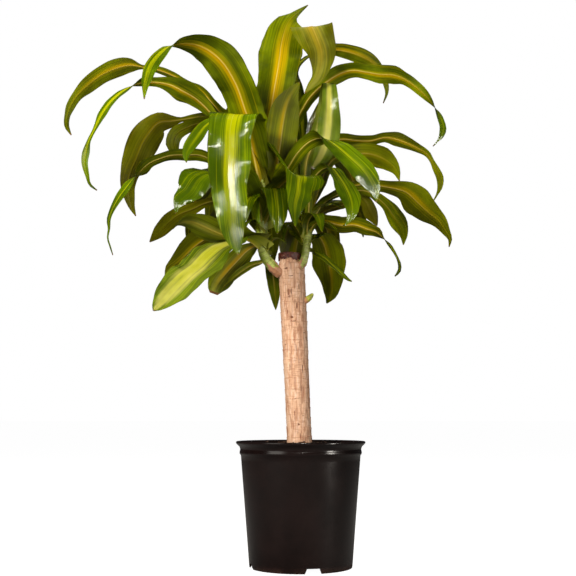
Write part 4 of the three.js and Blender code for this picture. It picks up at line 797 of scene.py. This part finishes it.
def blade_mesh(leaf, axis, phase, number):
    """The closed skin of one leaf, its upper faces first."""
    root = axis.at(axis.share_at_height(leaf.start * MM))
    line = Line([root, *(np.array(leaf.path)[:, :3] * MM)])
    count = int(np.clip(round(line.length / STATION_STEP), STATIONS_LEAST, STATIONS_MOST))
    s = np.linspace(0, 1, count + 1)
    along = line.along(s)
    facing = math.radians(leaf.facing)
    sideways = np.array([-math.sin(facing), math.cos(facing), 0])
    side = unit(sideways - along * (along @ sideways)[:, None])
    half, roll = (values[:, None] for values in blade_shape(leaf, line, s))
    side = side * np.cos(roll) + np.cross(along, side) * np.sin(roll)
    face = np.cross(along, side)

    # The margins waver a little, each leaf's in its own way.
    half = half * (1 + 0.012 * np.sin(31 * s + number) + 0.01 * np.sin(57 * s + 2 * number))[:, None]
    bow = (BLADE_CLASP + (BLADE_BOW - BLADE_CLASP) * smoothstep(0, 0.3, s))[:, None]
    across = COLUMNS[None, :]
    reach = np.abs(across)
    turn = 2 * math.pi * line.length * s[:, None] / RIPPLE_LENGTH + phase
    swell = np.sqrt(np.sin(math.pi * s).clip(0))[:, None] * reach**2
    wave = RIPPLE_HEIGHT * swell * np.sin(turn + np.where(across > 0, 2.1, 0))
    crimp = 0.03 * swell * reach * np.sin(3.3 * turn + np.where(across > 0, 0.7, 2.9))
    lift = half * (bow * reach * (1 - 0.35 * reach) + wave + crimp)
    spread = half * across / np.sqrt(1 + bow * bow)
    middle = line.at(s)[:, None] + side[:, None] * spread[..., None] + face[:, None] * lift[..., None]

    # Both faces lie half the blade's thickness off its middle, and the midrib swells the lower one.
    normal = unit(np.cross(np.gradient(middle, axis=0), np.gradient(middle, axis=1)))
    thick = EDGE_THICKNESS + (BLADE_THICKNESS - EDGE_THICKNESS) * smoothstep(1, 0.8, reach)
    rib = MIDRIB_DEPTH * smoothstep(MIDRIB_WIDTH, 0, np.abs(spread)) * (1 - 0.8 * s)[:, None]
    rib = rib * smoothstep(1, 0.9, s)[:, None]
    upper = middle + normal * (thick / 2)[..., None]
    lower = middle - normal * (thick / 2 + rib)[..., None]

    rows, columns = count + 1, len(COLUMNS)
    index = np.arange(rows * columns).reshape(rows, columns)
    under = index + rows * columns
    tops = np.stack([index[1:, :-1], index[1:, 1:], index[:-1, 1:], index[:-1, :-1]], -1).reshape(-1, 4)
    bottoms = np.stack([under[:-1, 1:], under[1:, 1:], under[1:, :-1], under[:-1, :-1]], -1).reshape(-1, 4)
    rims = []
    for first, second, turned in ((index[:, 0], under[:, 0], False), (index[:, -1], under[:, -1], True),
                                  (index[0], under[0], True), (index[-1], under[-1], False)):
        strip = np.stack([first[:-1], first[1:], second[1:], second[:-1]], -1)
        rims.append(strip[:, ::-1] if turned else strip)
    faces = np.vstack([tops, bottoms, *rims])
    sides = np.concatenate([np.zeros(len(tops)), np.ones(len(bottoms)), np.zeros(len(faces) - 2 * len(tops))])

    vertices = np.vstack([upper.reshape(-1, 3), lower.reshape(-1, 3)])
    attributes = {"blade": triples(across, s[:, None], leaf.tone),
                  "span": triples(spread, line.length * s[:, None], number),
                  "life": np.tile([leaf.dry, leaf.band, leaf.painted_sheen], (rows * columns, 1))}
    return vertices, faces, sides, {key: np.tile(values, (2, 1)) for key, values in attributes.items()}


def build_leaves(side, leaves, axis, materials):
    for k, leaf in enumerate(leaves):
        vertices, faces, sides, attributes = blade_mesh(leaf, axis, RIPPLE_SHIFT * k, k + 1)
        make_piece(f"leaf_{side}_{k + 1:02d}", vertices, faces, materials, f"shoot_{side}",
                   sides, attributes)


# ---------------------------------------------------------------- stems

STEM_RING_PITCH = 6.5 * MM
STEM_RING_STEP = 0.6 * MM
STEM_SIDES = 40
STEM_ROW = 0.6 * MM
STEM_RING_TILT = 1.3 * MM
STEM_RIDGE = 0.25 * MM
STEM_COLLAR = 2.2 * MM                  # how far the bark's collar stands out at the root
STEM_COLLAR_REACH = 0.12                # how far up the stem it goes, as a share of its length


def build_stem(side, axis, radii, material):
    """The ringed stem of a shoot: each ring's upper edge stands out a little over the next."""
    count = int(axis.length / STEM_ROW)
    s = np.linspace(0, 1, count + 1)
    angle = full_turn(STEM_SIDES)
    tilt = STEM_RING_TILT * np.sin(angle[None, :] + 9 * s[:, None])
    ring = ((axis.length * s[:, None] + tilt) / STEM_RING_PITCH) % 1
    radius = even(radii, s)[:, None] * MM + STEM_RING_STEP * (ring**2 - 0.5)
    radius = radius + STEM_RIDGE * np.sin(5 * angle[None, :] + 40 * s[:, None])
    ragged = s[:, None] + 0.035 * np.sin(3 * angle + 1) + 0.02 * np.sin(8 * angle)
    collar = smoothstep(STEM_COLLAR_REACH, 0.07, ragged) * smoothstep(0.0, 0.08, ragged)
    radius = radius + STEM_COLLAR * collar
    vertices, faces = loft(bar_rings(axis, s, radius))
    bark = smoothstep(STEM_COLLAR_REACH, 0.06, ragged)
    make_piece(f"stem_{side}", vertices, faces, [material], f"shoot_{side}",
               attributes={"stem": with_ends(triples(ring, bark, 0))})


# ---------------------------------------------------------------- cane, wax and bud

CANE_SIDES = 176
CANE_ROW = 0.9 * MM
BARK_CRACK_DEPTH = 1 * MM
PARED_SHARE = 0.97                      # of the part's paring, so that the bark meets the wax
# Breaks in the bark, listed one by one: angle in degrees (-90 faces the viewer), height, half width, half
# height.
BARK_CRACKS = [(-97, 524, 6, 0.8), (-118, 538, 4, 2.2), (-112, 495, 1.2, 8), (-98, 494, 1.0, 7),
               (-105, 486, 5, 0.7), (-100, 448, 3.5, 2.5), (-92, 441, 8, 0.8), (-118, 458, 1.0, 6),
               (-100, 300, 3, 0.9), (-90, 254, 2.6, 2.2), (-96, 240, 0.9, 9), (-86, 232, 1.2, 6),
               (-60, 352, 0.9, 9), (-120, 356, 0.9, 10), (-40, 420, 4, 0.7), (-140, 398, 3, 0.7),
               (-118, 344, 0.8, 7), (-74, 470, 0.8, 9), (-60, 505, 0.8, 8), (-84, 392, 0.7, 8),
               (-128, 310, 0.8, 9), (-70, 320, 0.7, 8), (-108, 275, 0.7, 8), (-66, 270, 3, 0.7),
               (20, 470, 5, 0.9), (60, 410, 1, 8), (110, 500, 4, 1), (150, 350, 1, 9), (170, 460, 5, 0.8),
               (-170, 300, 1, 7), (80, 280, 4, 1), (40, 330, 1, 9), (120, 250, 3, 1), (-20, 300, 1, 8)]


def build_cane(material):
    """The cane's papery bark: leaf scars that fade in and out, upright fissures and a pared end."""
    top = CANE_TOP.z
    heights = np.concatenate([np.linspace(CANE_FOOT.z, SCAR_LOWEST - 20 * MM, 8),
                              np.arange(SCAR_LOWEST - 19 * MM, top, CANE_ROW), [top]])
    angle = full_turn(CANE_SIDES)[None, :]
    z = heights[:, None]
    zmm = z / MM
    shape = (len(heights), CANE_SIDES)
    round_wall = triples(np.cos(angle) * CANE_RADIUS, np.sin(angle) * CANE_RADIUS, z)

    def rough(stretch, scale, seed, detail):
        return wobble(round_wall * [1, 1, stretch], scale, seed, detail).reshape(shape)

    # Upright strands, the fissures between them, and broad plates.
    strands = rough(0.10, 420, 1.0, 2)
    fissures = rough(0.16, 190, 4.0, 3)
    plates = rough(0.5, 110, 2.0, 3)
    swollen = CANE_RADIUS + (0.5 * np.sin(zmm / 61) + 0.4 * np.cos(2 * angle + zmm / 90)) * MM
    # Each scar's line wanders up and down on its way round, and is worn away in places.
    scar = SCAR_LOWEST + SCAR_SPACING * np.round((z - SCAR_LOWEST) / SCAR_SPACING)
    wander = 1.2 * MM * (np.sin(angle + scar / MM / 7) + 0.5 * np.sin(2 * angle + scar / MM / 11)
                         + 0.25 * np.sin(7 * angle + scar / MM) + 0.4 * plates)
    ring = ((z - SCAR_LOWEST - SCAR_LIP / 2 - wander) / SCAR_SPACING) % 1
    worn = smoothstep(-0.35, 0.45, rough(0.35, 46, 6.0, 2))
    lip = np.exp(-((1 - ring) / 0.05) ** 2)
    stepped = worn * (SCAR_DEPTH * (ring - 0.5) * 0.75 + 0.4 * MM * lip)
    above = smoothstep(SCAR_LOWEST - SCAR_SPACING, SCAR_LOWEST - SCAR_SPACING + 4 * MM, z)
    split = smoothstep(0.12, 0.42, -fissures)
    rise = 0.3 * strands + 0.4 * plates - 0.4 * split
    radius = swollen + (stepped + rise * MM) * above

    crack = np.zeros(shape)
    for place, height, half_width, half_height in BARK_CRACKS:
        off = np.abs((angle - math.radians(place) + math.pi) % (2 * math.pi) - math.pi) * CANE_RADIUS / MM
        gap = np.hypot((off + 0.8 * plates) / half_width, (zmm + 1.5 * strands - height) / half_height)
        crack = np.maximum(crack, smoothstep(1.1, 0.5, gap + 0.5 * strands))
    radius = radius - BARK_CRACK_DEPTH * crack

    pared = smoothstep(top - PARED_LENGTH - PARED_SLOPE, top - PARED_LENGTH, z + 1.2 * MM * plates)
    radius = radius - pared * PARED_DEPTH * PARED_SHARE
    axis = np.array(CANE_TOP - CANE_FOOT)
    centres = np.array(CANE_FOOT) + axis * ((heights - CANE_FOOT.z) / axis[2])[:, None]
    rings = level_rings(centres, radius)
    rings[..., 0] += PARED_SHIFT * pared
    vertices, faces = loft(rings)
    bark = with_ends(triples(worn * lip * above, split, crack))
    make_piece("cane_bark", vertices, faces, [material], "cane", attributes={"bark": bark})


SEAL_SKIRT = 11 * MM
SEAL_SIDES = 144
SEAL_RADIUS = CANE_RADIUS - PARED_DEPTH + 2.1 * MM
SEAL_WALL = 1.5 * MM


def build_wax(material):
    """The dark wax over the cut: a lumpy cap whose skirt ends in ragged drips."""
    angle = full_turn(SEAL_SIDES)
    axis = np.array((CANE_TOP - CANE_FOOT).normalized())
    centre = np.array(CANE_TOP) + [PARED_SHIFT, 0, 0]
    skirt = (1.6 * np.sin(3 * angle + 0.6) + 1.2 * np.sin(7 * angle) + 0.9 * np.sin(17 * angle + 1)
             + 0.6 * np.sin(31 * angle)) * MM - SEAL_SKIRT
    rings = []

    def ring(radius, lift):
        lift = np.broadcast_to(lift, angle.shape)[:, None]
        rings.append(centre + axis * lift + circle(angle) * np.broadcast_to(radius, angle.shape)[:, None])

    # Down inside the skirt, up its outside, over the rounded edge and in across the dimpled top.
    inner = SEAL_RADIUS - SEAL_WALL
    ring(6 * MM, 0.4 * MM)
    ring(inner - 3 * MM, 0.4 * MM)
    ring(inner, 0.2 * MM)
    for share in (0.35, 0.7, 0.95):
        ring(inner, skirt * share)
    for share in (1.0, 0.85, 0.6, 0.4, 0.2, 0.06):
        lump = 0.5 * MM * np.sin(9 * angle + 6 * share) + 0.35 * MM * np.sin(23 * angle - 9 * share)
        ring(SEAL_RADIUS + lump * math.sin(math.pi * min(share + 0.2, 0.9)), skirt * share + 0.2 * MM)
    for step in range(1, 5):
        turn = step / 4 * math.pi / 2
        edge = 0.5 * MM * np.sin(5 * angle + step) + 0.3 * MM * np.sin(13 * angle)
        lift = 0.3 * MM + 1.5 * MM * math.sin(turn) + edge * turn / 2
        ring(SEAL_RADIUS - 1.6 * MM * (1 - math.cos(turn)), lift)
    for share in (0.8, 0.6, 0.4, 0.2):
        dimple = 0.7 * MM * np.sin(4 * angle + 9 * share) * share
        ring(SEAL_RADIUS * share, 1.7 * MM + dimple)
    vertices, faces = loft(rings[::-1])
    make_piece("cut_wax", vertices, faces, [material], "cut_seal")


BUD_PATH = [(3, -4, 479), (14, -7, 480), (23, -9, 493)]
BUD_RADIUS = 6.2 * MM
BUD_ROWS = 60
BUD_SIDES = 36
BUD_SCALES = 4


def build_bud(material):
    """A small bud of overlapping scales on the bark's right side."""
    start, bend, tip = (np.array(p) * MM for p in BUD_PATH)
    t = np.linspace(0, 1, 24)[:, None]
    line = Line((1 - t) ** 2 * start + 2 * t * (1 - t) * bend + t**2 * tip)
    s = np.linspace(0, 1, BUD_ROWS)
    scale = (BUD_SCALES * s[:, None] + 0.5 * np.sin(full_turn(BUD_SIDES) + 7 * s[:, None])) % 1
    radius = BUD_RADIUS * np.sqrt(1 - s**2)[:, None] * (0.93 + 0.09 * scale) + 0.4 * MM
    vertices, faces = loft(bar_rings(line, s, radius))
    bud = with_ends(triples(s[:, None], scale, 0))
    make_piece("bud_scales", vertices, faces, [material], "side_bud", attributes={"bud": bud})


# ---------------------------------------------------------------- pot

POT_SIDES = 288
POT_RIM_ROLL = 8 * MM                   # how far in from the edge the rolled rim reaches
FOOT_TEETH = 72
TOOTH_HEIGHT = 2.4 * MM
TOOTH_DEPTH = 0.6 * MM
POT_SHARP = math.radians(38)


def inner_radius(z):
    """Radius inside the pot's wall at height z."""
    return POT_FOOT_RADIUS + (POT_BODY_TOP_RADIUS - POT_FOOT_RADIUS) * z / POT_HEIGHT - POT_WALL


def pad_radius(z):
    """Radius inside the floor's sunk middle."""
    return POT_PAD_RADIUS - POT_WALL + POT_PAD_SLOPE * (z - POT_FLOOR) / POT_BASE_LIFT


def pot_outline():
    """Radius and height from the underside's middle, up the outside, over the rim and down inside."""
    rim, body, foot, top = POT_RIM_RADIUS, POT_BODY_TOP_RADIUS, POT_FOOT_RADIUS, POT_HEIGHT
    neck = body + POT_BEAD_OUT
    bead = top - POT_BEAD_DROP
    floor = POT_BASE_LIFT + POT_FLOOR
    ring = foot - POT_RING_WALL
    outline = [(POT_PAD_RADIUS - 1 * MM, 0), (POT_PAD_RADIUS, 0.6 * MM),
               (POT_PAD_RADIUS + POT_PAD_SLOPE, POT_BASE_LIFT - 0.6 * MM),
               (POT_PAD_RADIUS + POT_PAD_SLOPE + 1 * MM, POT_BASE_LIFT), (ring - 1 * MM, POT_BASE_LIFT),
               (ring, POT_BASE_LIFT - 1 * MM), (ring, 0.5 * MM), (ring + 0.5 * MM, 0), (foot - 0.9 * MM, 0),
               (foot - 0.2 * MM, 0.7 * MM), (foot, TOOTH_HEIGHT), (foot + 0.1 * MM, TOOTH_HEIGHT + 0.5 * MM)]
    wall_top = bead - 5.4 * MM
    for share in np.linspace(0.04, 1, 22):
        outline.append((foot + (body - foot) * share, wall_top * share))
    rows = [(neck - 1.2 * MM, -4.3), (neck - 0.2 * MM, -3), (neck + 0.3 * MM, -1.4), (neck + 0.4 * MM, 0),
            (neck + 0.2 * MM, 1.6), (neck - 0.2 * MM, 3), (neck - 0.6 * MM, 4.6), (neck - 0.5 * MM, 6.4),
            (neck - 0.1 * MM, 8), (neck + 0.4 * MM, 9.4), (neck + 0.9 * MM, 10.6), (rim - 3.6 * MM, 12.8),
            (rim - 1.8 * MM, 14.4), (rim - 0.6 * MM, 15.8), (rim - 0.1 * MM, 16.7), (rim, 17.6),
            (rim - 0.1 * MM, 18.6), (rim - 0.6 * MM, 19.4), (rim - 1.6 * MM, 19.9), (rim - 5 * MM, 20),
            (rim - 6.8 * MM, 19.6), (rim - POT_RIM_ROLL, 18.6), (inner_radius(top) + 0.8 * MM, 14)]
    outline += [(radius, bead + rise * MM) for radius, rise in rows]
    for z in np.linspace(top - 14 * MM, floor + 3 * MM, 8):
        outline.append((inner_radius(z), z))
    return outline + [(inner_radius(floor) - 2 * MM, floor), (pad_radius(floor) + 1 * MM, floor),
                      (pad_radius(floor), floor - 0.8 * MM), (pad_radius(POT_FLOOR), POT_FLOOR + 0.5 * MM),
                      (pad_radius(POT_FLOOR) - 1 * MM, POT_FLOOR)]


def notch_cutter(angle):
    """A wedge through the foot's edge, wider at the bottom."""
    mesh = bpy.data.meshes.new("notch")
    low, foot, top = -3 * MM, NOTCH_FOOT_WIDTH / 2, NOTCH_TOP_WIDTH / 2
    near, far = POT_FOOT_RADIUS - NOTCH_DEPTH, POT_FOOT_RADIUS + NOTCH_DEPTH
    turn = math.radians(angle)
    vertices = []
    for radius in (near, far):
        for y, z in ((-foot, low), (foot, low), (top, NOTCH_HEIGHT), (-top, NOTCH_HEIGHT)):
            vertices.append((radius * math.cos(turn) - y * math.sin(turn),
                             radius * math.sin(turn) + y * math.cos(turn), z))
    faces = [(0, 3, 2, 1), (4, 5, 6, 7), (0, 1, 5, 4), (1, 2, 6, 5), (2, 3, 7, 6), (3, 0, 4, 7)]
    mesh.from_pydata(vertices, [], faces)
    cutter = bpy.data.objects.new("notch", mesh)
    bpy.context.scene.collection.objects.link(cutter)
    return cutter


def bake_modifiers(piece):
    """Replaces a piece's mesh by what its modifiers make of it."""
    view = bpy.context.evaluated_depsgraph_get()
    made = bpy.data.meshes.new_from_object(piece.evaluated_get(view))
    piece.modifiers.clear()
    old, piece.data = piece.data, made
    bpy.data.meshes.remove(old)


def build_pot(material):
    """The pot turned from its outline, with a toothed foot and its drain notches cut out."""
    outline = np.array(pot_outline())
    radius = np.repeat(outline[:, :1], POT_SIDES, axis=1)
    toothed = (outline[:, 1] < TOOTH_HEIGHT + 0.1 * MM) & (outline[:, 0] > POT_FOOT_RADIUS - 1 * MM)
    radius[toothed] -= TOOTH_DEPTH * (np.sin(FOOT_TEETH * full_turn(POT_SIDES)) > 0)
    vertices, faces = loft(level_rings(triples(0, 0, outline[:, 1]), radius))
    pot = make_piece("nursery_pot", vertices, faces, [material], "pot")
    for k in range(NOTCH_COUNT):
        cutter = notch_cutter(NOTCH_FIRST_ANGLE + k * 360 / NOTCH_COUNT)
        cut = pot.modifiers.new("notch", "BOOLEAN")
        cut.operation, cut.object, cut.solver = "DIFFERENCE", cutter, "EXACT"
        bake_modifiers(pot)
        bpy.data.objects.remove(cutter)
    pot.data.polygons.foreach_set("use_smooth", np.ones(len(pot.data.polygons), bool))
    pot.data.set_sharp_from_angle(angle=POT_SHARP)


# ---------------------------------------------------------------- soil

SOIL_RADIUS = inner_radius(SOIL_LEVEL - 8 * MM) - 0.8 * MM
SOIL_SIDES = 200
SOIL_ROWS = 48
SOIL_GAP = 0.5 * MM                     # between the soil and the pot's floor
CRUMBS = 900
CHIPS = 46
PERLITES = 30
CRUMB_SHARP = math.radians(50)
SCATTER_SEED = 7


def soil_height(x, y):
    """Height of the soil's top over the pot's middle plane, with lumps and a heap round the cane."""
    xm, ym = x / MM, y / MM
    lumps = SOIL_RELIEF * (math.sin(xm / 9 + 1.3 * math.sin(ym / 13)) * math.cos(ym / 8)
                           + 0.5 * math.sin((xm + ym) / 5))
    heap = SOIL_HEAP * math.exp(-(((math.hypot(xm, ym) - CANE_RADIUS / MM) / SOIL_HEAP_REACH) ** 2))
    fine = 1.4 * noise.fractal(Vector((xm / 7, ym / 7, 3.0)), 1.0, 2.0, 4)
    return SOIL_LEVEL + (heap + lumps + fine) * MM


def build_soil(material):
    """The soil's body: its underside and wall a little inside the pot, and its lumpy top."""
    angle = full_turn(SOIL_SIDES)
    floor = POT_BASE_LIFT + POT_FLOOR
    below = [(pad_radius(POT_FLOOR) - SOIL_GAP, POT_FLOOR + SOIL_GAP),
             (pad_radius(floor) - SOIL_GAP, floor + SOIL_GAP),
             (inner_radius(floor) - 1 * MM, floor + SOIL_GAP),
             (SOIL_RADIUS, SOIL_LEVEL - 8 * MM), (SOIL_RADIUS, SOIL_LEVEL - 4 * MM)]
    rings = [triples(radius * np.cos(angle), radius * np.sin(angle), z) for radius, z in below]
    for share in np.linspace(0.995, 0.02, SOIL_ROWS):
        x, y = SOIL_RADIUS * share * np.cos(angle), SOIL_RADIUS * share * np.sin(angle)
        rings.append(triples(x, y, [soil_height(a, b) for a, b in zip(x, y)]))
    vertices, faces = loft(rings)
    make_piece("potting_soil", vertices, faces, [material], "soil")


def lump_shape(random, size, flatness):
    """Corners and faces of one crumb: a small ball, dented and turned at random."""
    ball = bmesh.new()
    bmesh.ops.create_icosphere(ball, subdivisions=2, radius=1.0)
    points = np.array([v.co for v in ball.verts])
    faces = np.array([[v.index for v in f.verts] for f in ball.faces])
    ball.free()
    seed = float(random.uniform(0, 100))
    points = points * (1 + 0.38 * wobble(points, 1.3, seed, 2))[:, None]
    stretch = np.array([random.uniform(0.7, 1.3), random.uniform(0.7, 1.3), flatness])
    turn, tip = random.uniform(0, 2 * math.pi), random.uniform(-0.7, 0.7)
    turned = np.array([[math.cos(turn), -math.sin(turn), 0], [math.sin(turn), math.cos(turn), 0], [0, 0, 1]])
    tipped = np.array([[1, 0, 0], [0, math.cos(tip), -math.sin(tip)], [0, math.sin(tip), math.cos(tip)]])
    return (points * stretch) @ (turned @ tipped).T * size, faces


def scatter(name, random, count, sizes, flatness, material, sink=0.3):
    """Crumbs lying on the soil, clear of the cane and the pot's wall, as one piece. `sizes` are the
    square roots of the least and greatest radius in millimetres, so that most crumbs are small."""
    vertices, faces, start = [], [], 0
    clear = CANE_RADIUS + 3 * MM
    while count:
        size = random.uniform(*sizes) ** 2 * MM
        far = math.sqrt(random.uniform(0, 1)) * (SOIL_RADIUS - 1.5 * size)
        turn = random.uniform(0, 2 * math.pi)
        x, y = far * math.cos(turn), far * math.sin(turn)
        if math.hypot(x, y) < clear + size:
            continue
        points, corners = lump_shape(random, size, flatness)
        z = soil_height(x, y) + size * flatness * (1 - sink)
        vertices.append(points + [x, y, z])
        faces.append(corners + start)
        start += len(points)
        count -= 1
    piece = make_piece(name, np.vstack(vertices), np.vstack(faces), [material], "soil")
    piece.data.set_sharp_from_angle(angle=CRUMB_SHARP)


def build_soil_bits():
    """Loose crumbs, bark chips and a little perlite on the soil."""
    random = np.random.default_rng(SCATTER_SEED)
    dark = soil_finish("soil_crumb", tint(30, 22, 18), tint(74, 54, 42))
    bark = soil_finish("soil_bark_chip", tint(92, 62, 44), tint(150, 116, 92))
    pale = soil_finish("soil_perlite", tint(176, 160, 146), tint(226, 216, 204))
    scatter("soil_crumbs", random, CRUMBS, (0.9, 1.9), 0.8, dark)
    scatter("soil_bark_chips", random, CHIPS, (1.4, 2.3), 0.42, bark, 0.1)
    scatter("soil_perlite", random, PERLITES, (0.9, 1.45), 0.85, pale, 0.1)


# ---------------------------------------------------------------- studio

WARM = (1, 0.95, 0.87)


def area_light(name, place, aim, size, power, lights=True, mirrored=True):
    """A soft light. It may only light the plant, or only be `mirrored` in it as a highlight."""
    light = bpy.data.lights.new(name, "AREA")
    light.shape = "RECTANGLE"
    light.size, light.size_y = size
    light.energy = power
    light.color = WARM
    lamp = bpy.data.objects.new(name, light)
    lamp.location = place
    lamp.rotation_euler = (Vector(aim) - Vector(place)).to_track_quat("-Z", "Y").to_euler()
    lamp.visible_diffuse = lights
    lamp.visible_glossy = mirrored
    bpy.context.scene.collection.objects.link(lamp)


WORLD_LIGHT = 0.04                      # how strongly the white backdrop lights the plant
FLOOR_GLOW = 0.98                       # lifts the floor to the backdrop's white
FLOOR_GREY = 0.2                        # what the plant sees of the floor
FLOOR_REACH = 40
PLANT_MIDDLE = (-0.05, 0, 0.6)


def build_studio():
    scene = bpy.context.scene
    scene.view_settings.view_transform = "Standard"
    world = bpy.data.worlds.new("studio")
    scene.world = world
    world.use_nodes = True
    nodes, links = world.node_tree.nodes, world.node_tree.links
    background = nodes["Background"]
    background.inputs["Color"].default_value = (1, 1, 1, 1)
    # The backdrop shows white and lights the plant more gently than that.
    path = nodes.new("ShaderNodeLightPath")
    strength = nodes.new("ShaderNodeMapRange")
    strength.inputs["To Min"].default_value = WORLD_LIGHT
    strength.inputs["To Max"].default_value = 1.0
    links.new(path.outputs["Is Camera Ray"], strength.inputs["Value"])
    links.new(strength.outputs["Result"], background.inputs["Strength"])

    area_light("key", (-1.4, -1.9, 1.6), PLANT_MIDDLE, (0.8, 0.8), 82, mirrored=False)
    area_light("fill", (0.9, -2.4, 0.3), PLANT_MIDDLE, (1.2, 1.2), 38, mirrored=False)
    area_light("top", (0.2, 0.6, 2.5), PLANT_MIDDLE, (1.4, 1.4), 54, mirrored=False)
    area_light("sheen", (0.1, -2.1, 1.7), (-0.1, 0, 0.8), (0.26, 0.26), 25, lights=False)
    area_light("window", (-1.9, -1.7, 1.0), (0, 0, 0.3), (1.3, 1.6), 20, lights=False)
    area_light("strip", (1.75, -1.15, 0.52), (0, 0, 0.2), (0.26, 0.8), 26, lights=False)

    mesh = bpy.data.meshes.new("floor")
    corners = [(-1, -1), (1, -1), (1, 1), (-1, 1)]
    mesh.from_pydata([(x * FLOOR_REACH, y * FLOOR_REACH, 0) for x, y in corners], [], [(0, 1, 2, 3)])
    floor = bpy.data.objects.new("floor", mesh)
    scene.collection.objects.link(floor)
    paper = Finish("floor_paper")
    seen = paper.add("LightPath").outputs["Is Camera Ray"]
    paper.set(Base_Color=(FLOOR_GREY, FLOOR_GREY, FLOOR_GREY, 1), Roughness=0.9, Specular_IOR_Level=0.1,
              Emission_Color=(1, 1, 1, 1), Emission_Strength=paper.calc("MULTIPLY", seen, FLOOR_GLOW))
    mesh.materials.append(paper.material)

    camera = bpy.data.cameras.new("camera")
    camera.lens = CAMERA_LENS
    camera.sensor_width = SENSOR_WIDTH
    camera.clip_start, camera.clip_end = 0.05, 200
    seat = bpy.data.objects.new("camera", camera)
    seat.location = CAMERA_PLACE
    seat.rotation_euler = (math.pi / 2 + CAMERA_PITCH, 0, 0)
    scene.collection.objects.link(seat)
    scene.camera = seat


# ---------------------------------------------------------------- the whole

def build_plant():
    leaf = [leaf_finish("leaf_upper", UPPER_COLOURS, 0.14, 0.5, 0.9 * MM, 0.14),
            leaf_finish("leaf_under", UNDER_COLOURS, 0.42, 0.08, 1.5 * MM, 0.3)]
    stem = stem_finish()
    shoots = [("left", LEFT_SHOOT_AXIS, LEFT_SHOOT_RADII, LEFT_SHOOT_LEAVES),
              ("right", RIGHT_SHOOT_AXIS, RIGHT_SHOOT_RADII, RIGHT_SHOOT_LEAVES)]
    for side, axis_points, radii, leaves in shoots:
        axis = Line(np.array(axis_points) * MM)
        build_stem(side, axis, radii, stem)
        build_leaves(side, leaves, axis, leaf)
    build_cane(bark_finish())
    build_wax(wax_finish())
    build_bud(bud_finish())
    build_pot(pot_finish())
    build_soil(soil_finish("soil_body", tint(28, 20, 16), tint(64, 46, 36)))
    build_soil_bits()


build_studio()
build_plant()

bpy.context.view_layer.update()
